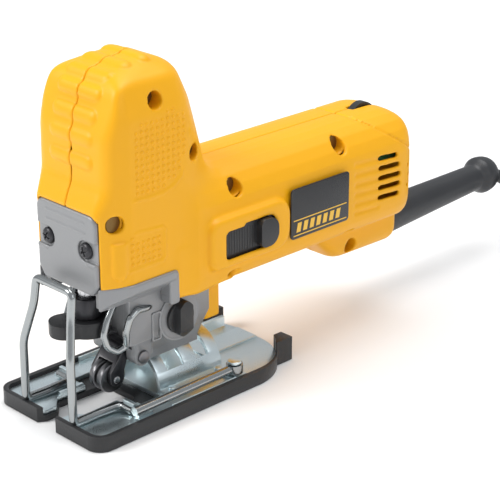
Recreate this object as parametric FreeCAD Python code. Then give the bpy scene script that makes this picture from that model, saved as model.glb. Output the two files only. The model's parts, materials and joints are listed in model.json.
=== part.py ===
import FreeCAD, Part
import math
import os

# Body-grip jigsaw.  Millimetres.  -Y is the cutting direction, +Z is up, +X is the operator's left.
# The origin is on the sole, on the centre line of the shoe, under the front of the saddle.

V = FreeCAD.Vector

# ---- Shoe and overshoe ----
SHOE_HALF = 38.0            # half width over the plastic overshoe
SHOE_FRONT = -67.5
SHOE_REAR = 63.5
FRONT_CORNER_R = 8.0
REAR_CORNER_R = 30.0
OVERSHOE_FLOOR = 3.0
RIM_WIDTH = 2.6
RIM_TOP = 7.5
PLATE_T = 2.5               # stamped steel plate lying in the overshoe
PLATE_GAP = 0.2             # plate edge to rim
SLOT_MOUTH_HALF = 4.5       # blade slot at the front edge
SLOT_HALF = 11.0            # blade slot behind the two tines
SLOT_MOUTH_END = -57.0
SLOT_END = -22.0
PIT_HALF = 22.0             # opening in the steel plate below the guide roller
PIT_FRONT = -34.0
PIT_END = -15.5
TAB_SIZE = (8.0, 11.0, 12.5)

# ---- Tilting saddle ----
SADDLE_R = 20.0
SADDLE_T = 2.2
SADDLE_FRONT = -14.5
SADDLE_REAR = 25.5
SADDLE_FLANGE = 26.0
SEAT_GAP = 0.3
ARC_SLOTS = ((-8.0, 3.0), (11.0, 19.0))
ARC_SLOT_ANGLE = 62.0
CLAMP_BAR_ANGLE = 20.0
CLAMP_BAR_T = 3.0
CLAMP_BOLT_R = 2.0

# ---- Grey gear case ----
CASE_HALF = 21.0
CASE_SHOULDER = 24.2
CASE_TOP = 73.0
CASE_FLOOR = 66.0
CASE_REAR = 16.4
BLOCK_FRONT = -16.0
CHEEK_FRONT = -33.0
CHEEK_T = 4.5
CHEEK_BOTTOM = 37.0
BULKHEAD_Y = (-17.0, -11.0)
BULKHEAD_TOP = 122.0
CLAMP_PIT_R = 11.5

# ---- Front plate ----
PLATE_FRONT = -51.5
FRONT_PLATE_T = 3.0
FRONT_PLATE_HALF = 21.0
FRONT_PLATE_Z = (66.5, 105.0)
PLATE_SCREW_X = 13.4
PLATE_SCREW_Z = 87.5
PLATE_SCREW_R = 4.0

# ---- Plunger, yoke and blade clamp ----
ROD_Y = -41.0
ROD_R = 3.8
ROD_TOP = 103.5
ROD_LOW = 46.0
STROKE = 26.0
RUN_GAP = 0.04              # radial running clearance of a shaft in its bore
BUSH_R = 6.5
BUSH_Z = (75.5, 85.0)
SEAL_Z = (73.2, 75.3)
YOKE_SIZE = (34.0, 3.5, 8.0)
YOKE_SLOT = (28.0, 4.6)
CLAMP_R = 7.0
CLAMP_Z = (49.0, 59.0)
LEVER_Z = (41.0, 48.6)
LEVER_HUB_R = 10.5
LEVER_REACH = 10.5          # from the rod's axis to the centre of the paddle's end
LEVER_TIP_R = 7.5
LEVER_ANGLE = 27.0          # the closed paddle points this far to the right of straight ahead

# ---- Gears ----
MODULE = 0.7
PINION_TEETH = 10
GEAR_TEETH = 50
PINION_BORE_R = 2.0
BACKLASH = 0.16
GEAR_Y = (-28.0, -20.5)
GEAR_AXLE_R = 4.0
GEAR_BUSH_R = 6.0
CRANK_PIN_R = 2.2

# ---- Motor ----
MOTOR_Z = 81.5
SHAFT_R = 3.0
ARMATURE_R = 13.0
ARMATURE_Y = (48.0, 86.0)
WINDING_OVERHANG = 7.0
AIR_GAP = 0.5
STATOR_R = 24.0
COMMUTATOR_R = 9.0
COMMUTATOR_Y = (100.0, 114.0)
FAN_R = 21.0
FAN_Y = (-5.0, 5.0)
BEARING_R = 8.0
BEARING_W = 6.0
REAR_BEARING_Y = 124.0
BRUSH_Y = 107.0
BRUSH_HALF = 3.0
BRUSH_END = 21.0

# ---- Yellow housing ----
WALL = 2.2
KNOB_HALF = 28.8
KNOB_TOP = 171.0
BARREL_HALF = 31.0
BARREL_Z = (50.5, 111.0)
BARREL_REAR = 160.0
BARREL_TOP_R = 26.0
BARREL_LOW_R = 18.0
BULGE_HALF = 17.0
BULGE_FRONT = 96.0
BULGE_LOW = 33.0
TOWER_FRONT = -52.2
TOWER_EDGE_Z = 70.5         # lower yellow edge above the gear case
SKIRT_EDGE_Z = 55.5         # lower yellow edge behind the step
SKIRT_STEP_Y = -9.0
POST_Y = (16.8, 27.0)
POST_HALF = 17.5
POST_LOW = 33.0
SCREW_SPOTS = ((-19.3, 153.5), (4.0, 124.0), (29.6, 100.0), (102.9, 102.5), (121.0, 42.0))
SHORT_SCREW_SPOT = (-43.0, 101.0)   # this screw goes into the gear case, not across
SHORT_SCREW_LENGTH = 8.0
CASE_SCREW_POST = (9.0, 18.6)      # inner and outer x of the gear case's front screw posts
SCREW_HOLE_R = 4.8
SCREW_RECESS = 9.0
SCREW_SHANK_R = 1.8
BOSS_WALL = 1.4
VENT_Z = (70.0, 75.3, 80.5, 85.8, 91.0)
VENT_Y = (127.5, 144.0)
VENT_H = 2.4

# ---- Slide switch, dial, badge ----
SWITCH_Y = (17.0, 50.0)     # opening in the raised frame on the side of the barrel
SWITCH_Z = (69.0, 84.0)
SWITCH_TRAVEL = 8.0
SWITCH_GAP = 0.4
FRAME_Y = (6.6, 60.2)
FRAME_Z = (64.3, 90.3)
FRAME_X = 33.4
FLANGE_X = (29.6, 31.2)     # the slider's flange runs in a pocket under the frame
FLANGE_Y = (16.6, 58.0)
FLANGE_OVER = 1.2           # the flange is this much wider than the opening, above and below
GRIP_Y = (38.0, 49.6)       # raised grip at the rear of the slider
GRIP_X = 35.2
STEM_X = 26.3
STEM_Y = (31.0, 43.0)
DIAL_Y = 144.0
DIAL_R = 9.5
DIAL_W = 4.0
DIAL_Z = 102.0
BADGE_Y = (61.0, 102.0)
BADGE_Z = (66.0, 92.0)
BADGE_T = 1.0

# ---- Pendulum fork, roller and selector ----
FORK_PIVOT = (-21.0, 26.0)  # y, z
FORK_PIN_R = 2.0
LUG_X = (9.0, 15.5)
LUG_R = 4.6
FORK_HALF = 7.2
FORK_CHEEK = 1.9
ROLLER = (-30.5, 14.2)      # y, z
ROLLER_R = 7.4
ROLLER_HALF = 4.6
ROLLER_PIN_R = 1.8
SELECTOR = (-3.0, 43.0)     # y, z
SELECTOR_SHAFT_R = 3.0
SELECTOR_LENGTH = 21.0
SELECTOR_WIDTH = 8.0
SELECTOR_OUT = 27.0

# ---- Wire parts ----
GUARD_WIRE_R = 2.0
LOOP_WIRE_R = 2.0
LOOP_X = 13.6
ROD_LEVER_R = 2.2
ROD_LEVER_Z = 10.4
ROD_LEVER_PIVOT = (31.0, 23.5)

# ---- Cord ----
CORD_D = 7.5
GUARD_ROOT_Y = 153.2
GUARD_END_Y = 258.0
GUARD_ROOT_Z = 41.5
GUARD_END_Z = 45.0
GUARD_ROOT_R = 10.0
GUARD_TIP_R = 7.4
GUARD_FLARE_R = 10.6
COIL_CENTRE = (18.0, 347.0)
COIL_TURN_R = 44.0
COIL_ROWS = 3
CORD_ROUTE = [(0, 236, 44.3), (0, 256.5, 45), (2.8, 277, 33), (12, 288, 13), (27, 292.7, 3.8),
              (43.8, 302.4, 3.8)]
PLUG_ROUTE = [(-7.2, 311, 18.7), (8, 302.5, 23), (34, 303, 28), (54.4, 325, 32.5), (54.4, 347, 32.5)]
PLUG_BACK_Y = 337.0
PLUG_LENGTH = 36.0
PLUG_HALF = 17.5
PLUG_HEIGHT = 20.0
PLUG_NECK = 16.0
PIN_LENGTH = 19.0
PIN_SPACING = 19.0
PIN_R = 2.4


# ======== Shape helpers ========
def box(x0, x1, y0, y1, z0, z1):
    return Part.makeBox(x1 - x0, y1 - y0, z1 - z0, V(x0, y0, z0))


def rod(axis, start, length, radius):
    """Round bar from start, running length along axis X, Y or Z."""
    directions = {"X": V(1, 0, 0), "Y": V(0, 1, 0), "Z": V(0, 0, 1)}
    return Part.makeCylinder(radius, length, V(*start), directions[axis])


def ring(axis, start, length, outer, inner):
    return rod(axis, start, length, outer).cut(rod(axis, start, length, inner))


def fuse(shapes):
    shapes = list(shapes)
    body = shapes[0]
    if len(shapes) > 1:
        body = body.multiFuse(shapes[1:])
    return body.removeSplitter()


def both_sides(shape):
    return [shape, shape.mirror(V(0, 0, 0), V(1, 0, 0))]


def corner_arc(before, corner, after, radius):
    """Start, middle and end of the arc that rounds a corner with radius."""
    into = (before - corner).normalize()
    out = (after - corner).normalize()
    half = into.getAngle(out) / 2
    reach = radius / math.tan(half)
    middle = (into + out).normalize()
    centre = corner + middle * (radius / math.sin(half))
    return corner + into * reach, centre - middle * radius, corner + out * reach


def rounded_edges(points, radii, closed):
    """Straight edges with tangent arcs at the corners; a radius of 0 keeps a sharp corner."""
    count = len(points)
    edges = []
    last = None
    first = None
    for i, point in enumerate(points):
        ends_open = not closed and i in (0, count - 1)
        if ends_open or radii[i] == 0:
            start, end, arc = point, point, None
        else:
            start, middle, end = corner_arc(points[i - 1], point, points[(i + 1) % count], radii[i])
            arc = Part.Arc(start, middle, end).toShape()
        if last is not None and (start - last).Length > 1e-6:
            edges.append(Part.LineSegment(last, start).toShape())
        if first is None:
            first = start
        if arc:
            edges.append(arc)
        last = end
    if closed and (first - last).Length > 1e-6:
        edges.append(Part.LineSegment(last, first).toShape())
    return edges


PLANES = {
    "YZ": lambda a, b: V(0, a, b),
    "XY": lambda a, b: V(a, b, 0),
    "XZ": lambda a, b: V(a, 0, b),
}
NORMALS = {"YZ": V(1, 0, 0), "XY": V(0, 0, 1), "XZ": V(0, 1, 0)}


def prism(plane, corners, low, high, inset=0.0):
    """Extrude an outline of (a, b, radius) corners from low to high across its plane."""
    points = [PLANES[plane](a, b) for a, b, _ in corners]
    radii = [radius for _, _, radius in corners]
    face = Part.Face(Part.Wire(rounded_edges(points, radii, True)))
    if inset:
        face = face.makeOffset2D(-inset)
    face.translate(NORMALS[plane] * low)
    return face.extrude(NORMALS[plane] * (high - low))


def mirrored_outline(half):
    """Close an outline given on the +X side, from bottom to top, by its mirror image."""
    return half + [(-a, b, radius) for a, b, radius in reversed(half)]


def wire_bar(points, radii, radius):
    """Round bar of the given radius along straight runs joined by tangent arcs."""
    points = [V(*p) for p in points]
    path = Part.Wire(rounded_edges(points, radii, False))
    section = Part.Wire(Part.makeCircle(radius, points[0], points[1] - points[0]))
    return path.makePipeShell([section], True, True)


def route_radii(points):
    """Each bend takes 0.45 of its shorter run."""
    points = [V(*p) for p in points]
    radii = [0.0]
    for before, corner, after in zip(points, points[1:], points[2:]):
        turn = math.pi - (before - corner).getAngle(after - corner)
        shorter = min((before - corner).Length, (after - corner).Length)
        radii.append(0.45 * shorter / math.tan(turn / 2))
    return radii + [0.0]


def gear_blank(teeth, addendum, y0, y1, centre_z, turned):
    """Spur gear about a Y axis, involute flanks at 20 degrees, turned by an angle in radians."""
    pitch = MODULE * teeth / 2
    pressure = math.radians(20)
    base = pitch * math.cos(pressure)
    root = pitch - 1.25 * MODULE
    tip = pitch + addendum
    half = math.pi / (2 * teeth) - BACKLASH / (2 * pitch)
    start_half = half + math.tan(pressure) - pressure

    def half_angle(radius):
        roll = math.acos(min(1.0, base / radius))
        return start_half - (math.tan(roll) - roll)

    flank = [max(root, base), (max(root, base) + pitch) / 2, pitch, tip]
    profile = [(-half_angle(r), r) for r in flank] + [(half_angle(r), r) for r in reversed(flank)]
    if root < base:
        profile = [(-start_half, root)] + profile + [(start_half, root)]
    points = []
    for tooth in range(teeth):
        middle = turned + 2 * math.pi * tooth / teeth
        for angle, radius in profile:
            spot = middle + angle
            points.append(V(radius * math.sin(spot), y0, centre_z + radius * math.cos(spot)))
    face = Part.Face(Part.makePolygon(points + points[:1]))
    return face.extrude(V(0, y1 - y0, 0))


# ======== Values worked out from the driving dimensions ========
PLATE_TOP = OVERSHOE_FLOOR + PLATE_T
GEAR_Z = MOTOR_Z + MODULE * (PINION_TEETH + GEAR_TEETH) / 2
CRANK_R = STROKE / 2
parts = {}


# ======== Yellow housing ========
def tower(inset):
    side = [
        (TOWER_FRONT, SKIRT_EDGE_Z, 0), (TOWER_FRONT - 0.2, 106, 3), (-46.8, 117, 12), (-46.2, 140, 26),
        (-37.5, 165, 15), (-12, KNOB_TOP, 26), (3, KNOB_TOP - 2.5, 12), (11.5, 151, 40), (18.5, 126, 30),
        (24, 104, 0), (24, SKIRT_EDGE_Z, 0),
    ]
    plan = mirrored_outline([
        (20.9, TOWER_FRONT - 0.6, 3), (KNOB_HALF, -36, 10), (KNOB_HALF, -2, 20), (17, 25, 14),
    ])
    front = mirrored_outline([
        (KNOB_HALF, SKIRT_EDGE_Z, 0), (KNOB_HALF, 142, 30), (23.5, 161, 14), (9, KNOB_TOP + 0.4, 12),
    ])
    body = prism("YZ", side, -60, 60, inset)
    body = body.common(prism("XY", plan, 0, 200, inset))
    return body.common(prism("XZ", front, -80, 80, inset))


def barrel(inset):
    low, top = BARREL_Z
    section = mirrored_outline([(BARREL_HALF, low, BARREL_LOW_R), (BARREL_HALF, top, BARREL_TOP_R)])
    side = [(0, low - 1, 0), (BARREL_REAR, low - 1, 12), (BARREL_REAR, top + 1, 16), (0, top + 1, 0)]
    plan = mirrored_outline([(BARREL_HALF + 1, 0, 0), (BARREL_HALF + 1, BARREL_REAR, 18)])
    body = prism("XZ", section, 0, BARREL_REAR, inset)
    body = body.common(prism("YZ", side, -60, 60, inset))
    return body.common(prism("XY", plan, 0, 200, inset))


def bulge(inset):
    top = BARREL_Z[0] + 15
    side = [
        (BULGE_FRONT, BARREL_Z[0], 0), (BULGE_FRONT + 17, BULGE_LOW + 1.5, 14),
        (BARREL_REAR - 2, BULGE_LOW, 7), (BARREL_REAR - 2, top, 0), (BULGE_FRONT, top, 0),
    ]
    section = mirrored_outline([(BULGE_HALF, BULGE_LOW - 1, 12), (BULGE_HALF, top, 0)])
    return prism("YZ", side, -60, 60, inset).common(prism("XZ", section, 0, 200, inset))


def skirt(inset):
    """Lower block of the tower round the rear of the gear case, and the post behind it."""
    block = box(-KNOB_HALF + 1.6 + inset, KNOB_HALF - 1.6 - inset, SKIRT_STEP_Y + inset,
                POST_Y[1] - inset, SKIRT_EDGE_Z + inset, BARREL_Z[0] + 30)
    return block


def housing_shell():
    outer = fuse([tower(0), barrel(0), bulge(0), skirt(0)])
    inner = fuse([tower(WALL), barrel(WALL), bulge(WALL), skirt(WALL)])
    shell = outer.cut(inner)
    # Open where the front plate and the gear case sit.
    shell = shell.cut(box(-FRONT_PLATE_HALF - 0.2, FRONT_PLATE_HALF + 0.2, -80, PLATE_FRONT + 6,
                          0, FRONT_PLATE_Z[1] + 0.2))
    shell = shell.cut(box(-60, 60, -80, SKIRT_STEP_Y, 0, TOWER_EDGE_Z))
    shell = shell.cut(box(-CASE_HALF - 0.4, CASE_HALF + 0.4, -80, CASE_REAR + 0.2, 0, CASE_TOP))
    shell = shell.cut(rod("Z", (0, ROD_Y, CASE_TOP), GEAR_Z + STROKE - CASE_TOP, ROD_R + 1.0))
    # Post behind the gear case.
    post = box(-POST_HALF, POST_HALF, POST_Y[0], POST_Y[1], POST_LOW, BARREL_Z[0] + 8)
    post = post.cut(box(-POST_HALF + WALL, POST_HALF - WALL, POST_Y[0] + WALL, POST_Y[1] - WALL,
                        POST_LOW + WALL, BARREL_Z[0] + 20))
    shell = fuse([shell, post])
    # Bosses across the two halves for the long housing screws.
    bosses = []
    for y, z in SCREW_SPOTS:
        boss = rod("X", (-60, y, z), 120, SCREW_HOLE_R + BOSS_WALL).common(outer)
        bosses.append(boss)
    y, z = SHORT_SCREW_SPOT
    short_boss = rod("X", (CASE_SCREW_POST[1] + 0.3, y, z), 30, SCREW_HOLE_R + BOSS_WALL).common(outer)
    bosses.append(short_boss.cut(box(-60, 60, -80, PLATE_FRONT + FRONT_PLATE_T + 0.3, 0, 200)))
    # Seats that hold the stator and the rear bearing.
    seat = ring("Y", (0, REAR_BEARING_Y - 1, MOTOR_Z), BEARING_W + 2, 40, BEARING_R)
    stop = ring("Y", (0, ARMATURE_Y[1] - 4, MOTOR_Z), 3, 40, STATOR_R)
    bosses += [seat.common(outer), stop.common(outer)]
    shell = fuse([shell] + bosses)
    holes = []
    for y, z in SCREW_SPOTS:
        surface = side_surface_x(outer, y, z)
        holes.append(rod("X", (surface - SCREW_RECESS, y, z), 60, SCREW_HOLE_R))
        holes.append(rod("X", (-surface + SCREW_RECESS, y, z), 60, SCREW_SHANK_R))
    y, z = SHORT_SCREW_SPOT
    surface = side_surface_x(outer, y, z)
    holes.append(rod("X", (surface - SCREW_RECESS / 2, y, z), 60, SCREW_HOLE_R))
    holes.append(rod("X", (CASE_SCREW_POST[1], y, z), 60, SCREW_SHANK_R))
    # Vents, switch opening, dial slot, cord hole.
    for side in (-1, 1):
        for z in VENT_Z:
            x0 = min(side * 20, side * 60)
            holes.append(box(x0, x0 + 40, VENT_Y[0], VENT_Y[1], z - VENT_H / 2, z + VENT_H / 2))
    holes.append(box(-DIAL_W / 2 - 0.5, DIAL_W / 2 + 0.5, DIAL_Y - 8.5, DIAL_Y + 8.5,
                     DIAL_Z, BARREL_Z[1] + 5))
    holes.append(rod("Y", (0, REAR_BEARING_Y - 5, MOTOR_Z), 15, SHAFT_R + 1))
    holes.append(rod("Y", (0, GUARD_ROOT_Y - 5, GUARD_ROOT_Z), 20, GUARD_ROOT_R - 2))
    return shell.cut(fuse(holes))


def side_surface_x(solid, y, z):
    """Distance of the housing's side from the middle plane at (y, z)."""
    probe = rod("X", (0, y, z), 60, 0.5).common(solid)
    return probe.BoundBox.XMax


def switch_frame():
    """Raised rim moulded round the switch opening on the left side."""
    rim = [(FRAME_Y[0], FRAME_Z[0], 6), (FRAME_Y[1], FRAME_Z[0], 9), (FRAME_Y[1], FRAME_Z[1], 9),
           (FRAME_Y[0], FRAME_Z[1], 7)]
    return prism("YZ", rim, BARREL_HALF - WALL - 1, FRAME_X)


def switch_pocket():
    """Opening in the frame, and the pocket behind it that the slider's flange runs in."""
    opening = box(20, 60, SWITCH_Y[0], SWITCH_Y[1], *SWITCH_Z)
    over = FLANGE_OVER + SWITCH_GAP
    pocket = box(FLANGE_X[0] - SWITCH_GAP, FLANGE_X[1] + SWITCH_GAP,
                 FLANGE_Y[0] - SWITCH_TRAVEL - SWITCH_GAP, FLANGE_Y[1] + SWITCH_GAP,
                 SWITCH_Z[0] - over, SWITCH_Z[1] + over)
    return fuse([opening, pocket])


def housing():
    outer_solid = fuse([tower(0), barrel(0), bulge(0), skirt(0)])
    shell = housing_shell()
    left = shell.common(box(0, 80, -80, 200, 0, 200))
    left = fuse([left, switch_frame()]).cut(switch_pocket())
    right = shell.common(box(-80, 0, -80, 200, 0, 200))
    parts["housing_left"] = largest(left)
    parts["housing_right"] = largest(right)
    screws = []
    for y, z in SCREW_SPOTS:
        surface = side_surface_x(outer_solid, y, z)
        seat = surface - SCREW_RECESS
        length = seat + surface - SCREW_RECESS - 1
        screws.append(fuse([rod("X", (seat, y, z), 2.6, SCREW_HOLE_R - 0.9),
                            rod("X", (seat - length, y, z), length, SCREW_SHANK_R)]))
    y, z = SHORT_SCREW_SPOT
    seat = side_surface_x(outer_solid, y, z) - SCREW_RECESS / 2
    screws.append(fuse([rod("X", (seat, y, z), 2.0, SCREW_HOLE_R - 0.9),
                        rod("X", (seat - SHORT_SCREW_LENGTH, y, z), SHORT_SCREW_LENGTH, SCREW_SHANK_R)]))
    parts["housing_screws"] = Part.makeCompound(screws)
    badge = prism("YZ", [(BADGE_Y[0], BADGE_Z[0], 2), (BADGE_Y[1], BADGE_Z[0], 2),
                         (BADGE_Y[1], BADGE_Z[1], 2), (BADGE_Y[0], BADGE_Z[1], 2)],
                  BARREL_HALF, BARREL_HALF + BADGE_T)
    parts["side_badges"] = Part.makeCompound(both_sides(badge))


def largest(shape):
    return max(shape.Solids, key=lambda solid: solid.Volume)


# ======== Gear case, front plate and plunger guide ========
def gear_case():
    floor = prism("XY", mirrored_outline([
        (FRONT_PLATE_HALF - 1.5, PLATE_FRONT + FRONT_PLATE_T, 0), (FRONT_PLATE_HALF - 1, -30, 0),
        (FRONT_PLATE_HALF - 1, BULKHEAD_Y[1], 0)]), CASE_FLOOR, CASE_TOP)
    shoulder = prism("XY", mirrored_outline([
        (FRONT_PLATE_HALF - 0.5, PLATE_FRONT + FRONT_PLATE_T, 0), (CASE_SHOULDER, -40, 4),
        (CASE_SHOULDER, SKIRT_STEP_Y - 0.4, 0)]), CASE_FLOOR - 6, TOWER_EDGE_Z - 0.2)
    bevel = prism("XZ", [(CASE_HALF, CASE_FLOOR - 7, 0), (CASE_SHOULDER + 2, CASE_FLOOR - 7, 0),
                         (CASE_SHOULDER + 2, CASE_FLOOR, 0)], -60, 0)
    hollow = box(-CASE_HALF + CHEEK_T, CASE_HALF - CHEEK_T, -60, BLOCK_FRONT, 0, CASE_FLOOR)
    bulkhead = box(-19, 19, BULKHEAD_Y[0], BULKHEAD_Y[1], CASE_FLOOR, BULKHEAD_TOP)
    bush_boss = box(-BUSH_R - 3, BUSH_R + 3, PLATE_FRONT + FRONT_PLATE_T, ROD_Y + BUSH_R + 2,
                    CASE_TOP - 1, BUSH_Z[1])
    screw_post = box(CASE_SCREW_POST[0], CASE_SCREW_POST[1], PLATE_FRONT + FRONT_PLATE_T, ROD_Y + 1,
                     CASE_TOP - 1, SHORT_SCREW_SPOT[1] + 4)
    section = mirrored_outline([(12.4, 12, 0), (12.4, 24.5, 0), (15.5, 31, 0), (CASE_HALF, 41, 0),
                                (CASE_HALF, CASE_FLOOR, 0)])
    block = prism("XZ", section, BLOCK_FRONT, CASE_REAR)
    block = block.cut(box(-15, 15, BLOCK_FRONT + 4, CASE_REAR - 3, 33, CASE_FLOOR + 1))
    cheek = box(CASE_HALF - CHEEK_T, CASE_HALF, CHEEK_FRONT, BLOCK_FRONT, CHEEK_BOTTOM, CASE_FLOOR)
    lug = fuse([rod("X", (LUG_X[0], *FORK_PIVOT), LUG_X[1] - LUG_X[0], LUG_R),
                box(LUG_X[0], LUG_X[1], FORK_PIVOT[0] - LUG_R, BLOCK_FRONT + 1, FORK_PIVOT[1],
                    FORK_PIVOT[1] + 12),
                box(LUG_X[0], CASE_HALF - 1, FORK_PIVOT[0] - LUG_R, BLOCK_FRONT + 1,
                    CHEEK_BOTTOM, CHEEK_BOTTOM + 6)])
    case = fuse([floor, shoulder.cut(hollow), bulkhead, bush_boss, block] + both_sides(screw_post)
                + both_sides(cheek) + both_sides(lug))
    cuts = both_sides(bevel)
    cuts.append(rod("Y", (0, -40, PLATE_TOP), 80, SADDLE_R + SEAT_GAP))
    cuts.append(rod("Z", (0, ROD_Y, 30), CASE_TOP - 0.8 - 30, CLAMP_PIT_R))
    cuts.append(rod("Z", (0, ROD_Y, 60), 40, ROD_R + 1))
    cuts.append(rod("Z", (0, ROD_Y, SEAL_Z[0]), 20, BUSH_R))
    cuts.append(box(-13, 13, ROD_Y + 6, BLOCK_FRONT, 30, CASE_FLOOR + 3))
    cuts.append(rod("Y", (0, BULKHEAD_Y[0] - 1, MOTOR_Z), 20, BEARING_R))
    cuts.append(rod("Y", (0, BULKHEAD_Y[0] - 1, GEAR_Z), 20, GEAR_AXLE_R))
    cuts.append(rod("X", (-30, *FORK_PIVOT), 60, FORK_PIN_R))
    cuts.append(rod("X", (14, *SELECTOR), 20, SELECTOR_SHAFT_R + RUN_GAP))
    cuts.append(rod("X", (CASE_SCREW_POST[0] + 1, *SHORT_SCREW_SPOT), 20, SCREW_SHANK_R))
    for side in (-1, 1):
        cuts.append(rod("Y", (side * PLATE_SCREW_X, -60, PLATE_SCREW_Z), 20, 1.6))
    for y0, y1 in ARC_SLOTS:
        cuts.append(rod("Z", (0, (y0 + y1) / 2, 10), 40, CLAMP_BOLT_R))
    case = largest(case.cut(fuse(cuts)))
    parts["gear_case"] = case
    parts["front_bearing"] = ring("Y", (0, BULKHEAD_Y[0], MOTOR_Z), BEARING_W, BEARING_R, SHAFT_R)
    parts["gear_axle"] = rod("Y", (0, GEAR_Y[0] - 1.2, GEAR_Z), BULKHEAD_Y[1] - GEAR_Y[0] + 1.2,
                             GEAR_AXLE_R)
    parts["plunger_bush"] = ring("Z", (0, ROD_Y, BUSH_Z[0]), BUSH_Z[1] - BUSH_Z[0], BUSH_R,
                                 ROD_R + RUN_GAP)
    parts["rod_seal"] = ring("Z", (0, ROD_Y, SEAL_Z[0]), SEAL_Z[1] - SEAL_Z[0], BUSH_R, ROD_R + RUN_GAP)


def front_plate():
    low, top = FRONT_PLATE_Z
    outline = [(-16.5, low, 2), (16.5, low, 2), (20.4, low + 6, 2), (FRONT_PLATE_HALF, low + 9, 2),
               (FRONT_PLATE_HALF - 0.5, top, 6), (-FRONT_PLATE_HALF + 0.5, top, 6),
               (-FRONT_PLATE_HALF, low + 9, 2), (-20.4, low + 6, 2)]
    plate = prism("XZ", outline, PLATE_FRONT, PLATE_FRONT + FRONT_PLATE_T)
    notch = []
    screws = []
    for side in (-1, 1):
        x = side * PLATE_SCREW_X
        notch.append(rod("Y", (x, PLATE_FRONT - 1, PLATE_SCREW_Z), 2.6, PLATE_SCREW_R + 0.6))
        x0 = min(x, x + side * 12)
        notch.append(box(x0, x0 + 12, PLATE_FRONT - 1, PLATE_FRONT + 1.6,
                         PLATE_SCREW_Z - PLATE_SCREW_R - 0.6, PLATE_SCREW_Z + PLATE_SCREW_R + 0.6))
        notch.append(rod("Y", (x, PLATE_FRONT - 1, PLATE_SCREW_Z), 10, 1.8))
        head = rod("Y", (x, PLATE_FRONT - 1.2, PLATE_SCREW_Z), 2.8, PLATE_SCREW_R)
        screws.append(fuse([head, rod("Y", (x, PLATE_FRONT + 1.6, PLATE_SCREW_Z), 8, 1.6)]))
    parts["front_plate"] = plate.cut(fuse(notch))
    parts["plate_screws"] = Part.makeCompound(screws)


def plunger():
    bar = rod("Z", (0, ROD_Y, ROD_LOW), ROD_TOP - ROD_LOW, ROD_R)
    bar = bar.cut(box(-0.9, 0.9, ROD_Y - 10, ROD_Y + 10, ROD_LOW - 1, ROD_LOW + 9))
    parts["plunger_rod"] = bar
    width, depth, height = YOKE_SIZE
    back = ROD_Y + ROD_R
    yoke = box(-width / 2, width / 2, back, back + depth, GEAR_Z - height / 2, GEAR_Z + height / 2)
    sleeve = box(-ROD_R - 1.6, ROD_R + 1.6, ROD_Y, back + depth, GEAR_Z - height / 2,
                 GEAR_Z + height / 2)
    slot_w, slot_h = YOKE_SLOT
    slot = box(-slot_w / 2, slot_w / 2, back + 1, back + depth + 1, GEAR_Z - slot_h / 2,
               GEAR_Z + slot_h / 2)
    parts["yoke"] = fuse([yoke, sleeve]).cut(slot).cut(rod("Z", (0, ROD_Y, 60), 80, ROD_R))
    clamp = rod("Z", (0, ROD_Y, CLAMP_Z[0]), CLAMP_Z[1] - CLAMP_Z[0], CLAMP_R)
    collar = rod("Z", (0, ROD_Y, ROD_LOW), CLAMP_Z[0] - ROD_LOW, ROD_R + 2.2)
    parts["blade_clamp"] = fuse([clamp, collar]).cut(rod("Z", (0, ROD_Y, 0), 150, ROD_R))
    hub = rod("Z", (0, ROD_Y, LEVER_Z[0]), LEVER_Z[1] - LEVER_Z[0], LEVER_HUB_R)
    end = -LEVER_REACH - LEVER_TIP_R
    paddle = prism("XY", [(-LEVER_HUB_R + 1, 0, 0), (-LEVER_TIP_R, end, LEVER_TIP_R - 0.1),
                          (LEVER_TIP_R, end, LEVER_TIP_R - 0.1), (LEVER_HUB_R - 1, 0, 0)],
                   LEVER_Z[0], LEVER_Z[1] - 1.2)
    paddle.rotate(V(0, 0, 0), V(0, 0, 1), -LEVER_ANGLE)
    paddle.translate(V(0, ROD_Y, 0))
    lever = fuse([hub, paddle])
    bore = rod("Z", (0, ROD_Y, 0), 150, ROD_R + 2.2 + RUN_GAP)
    parts["clamp_lever"] = lever.cut(bore)


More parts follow.
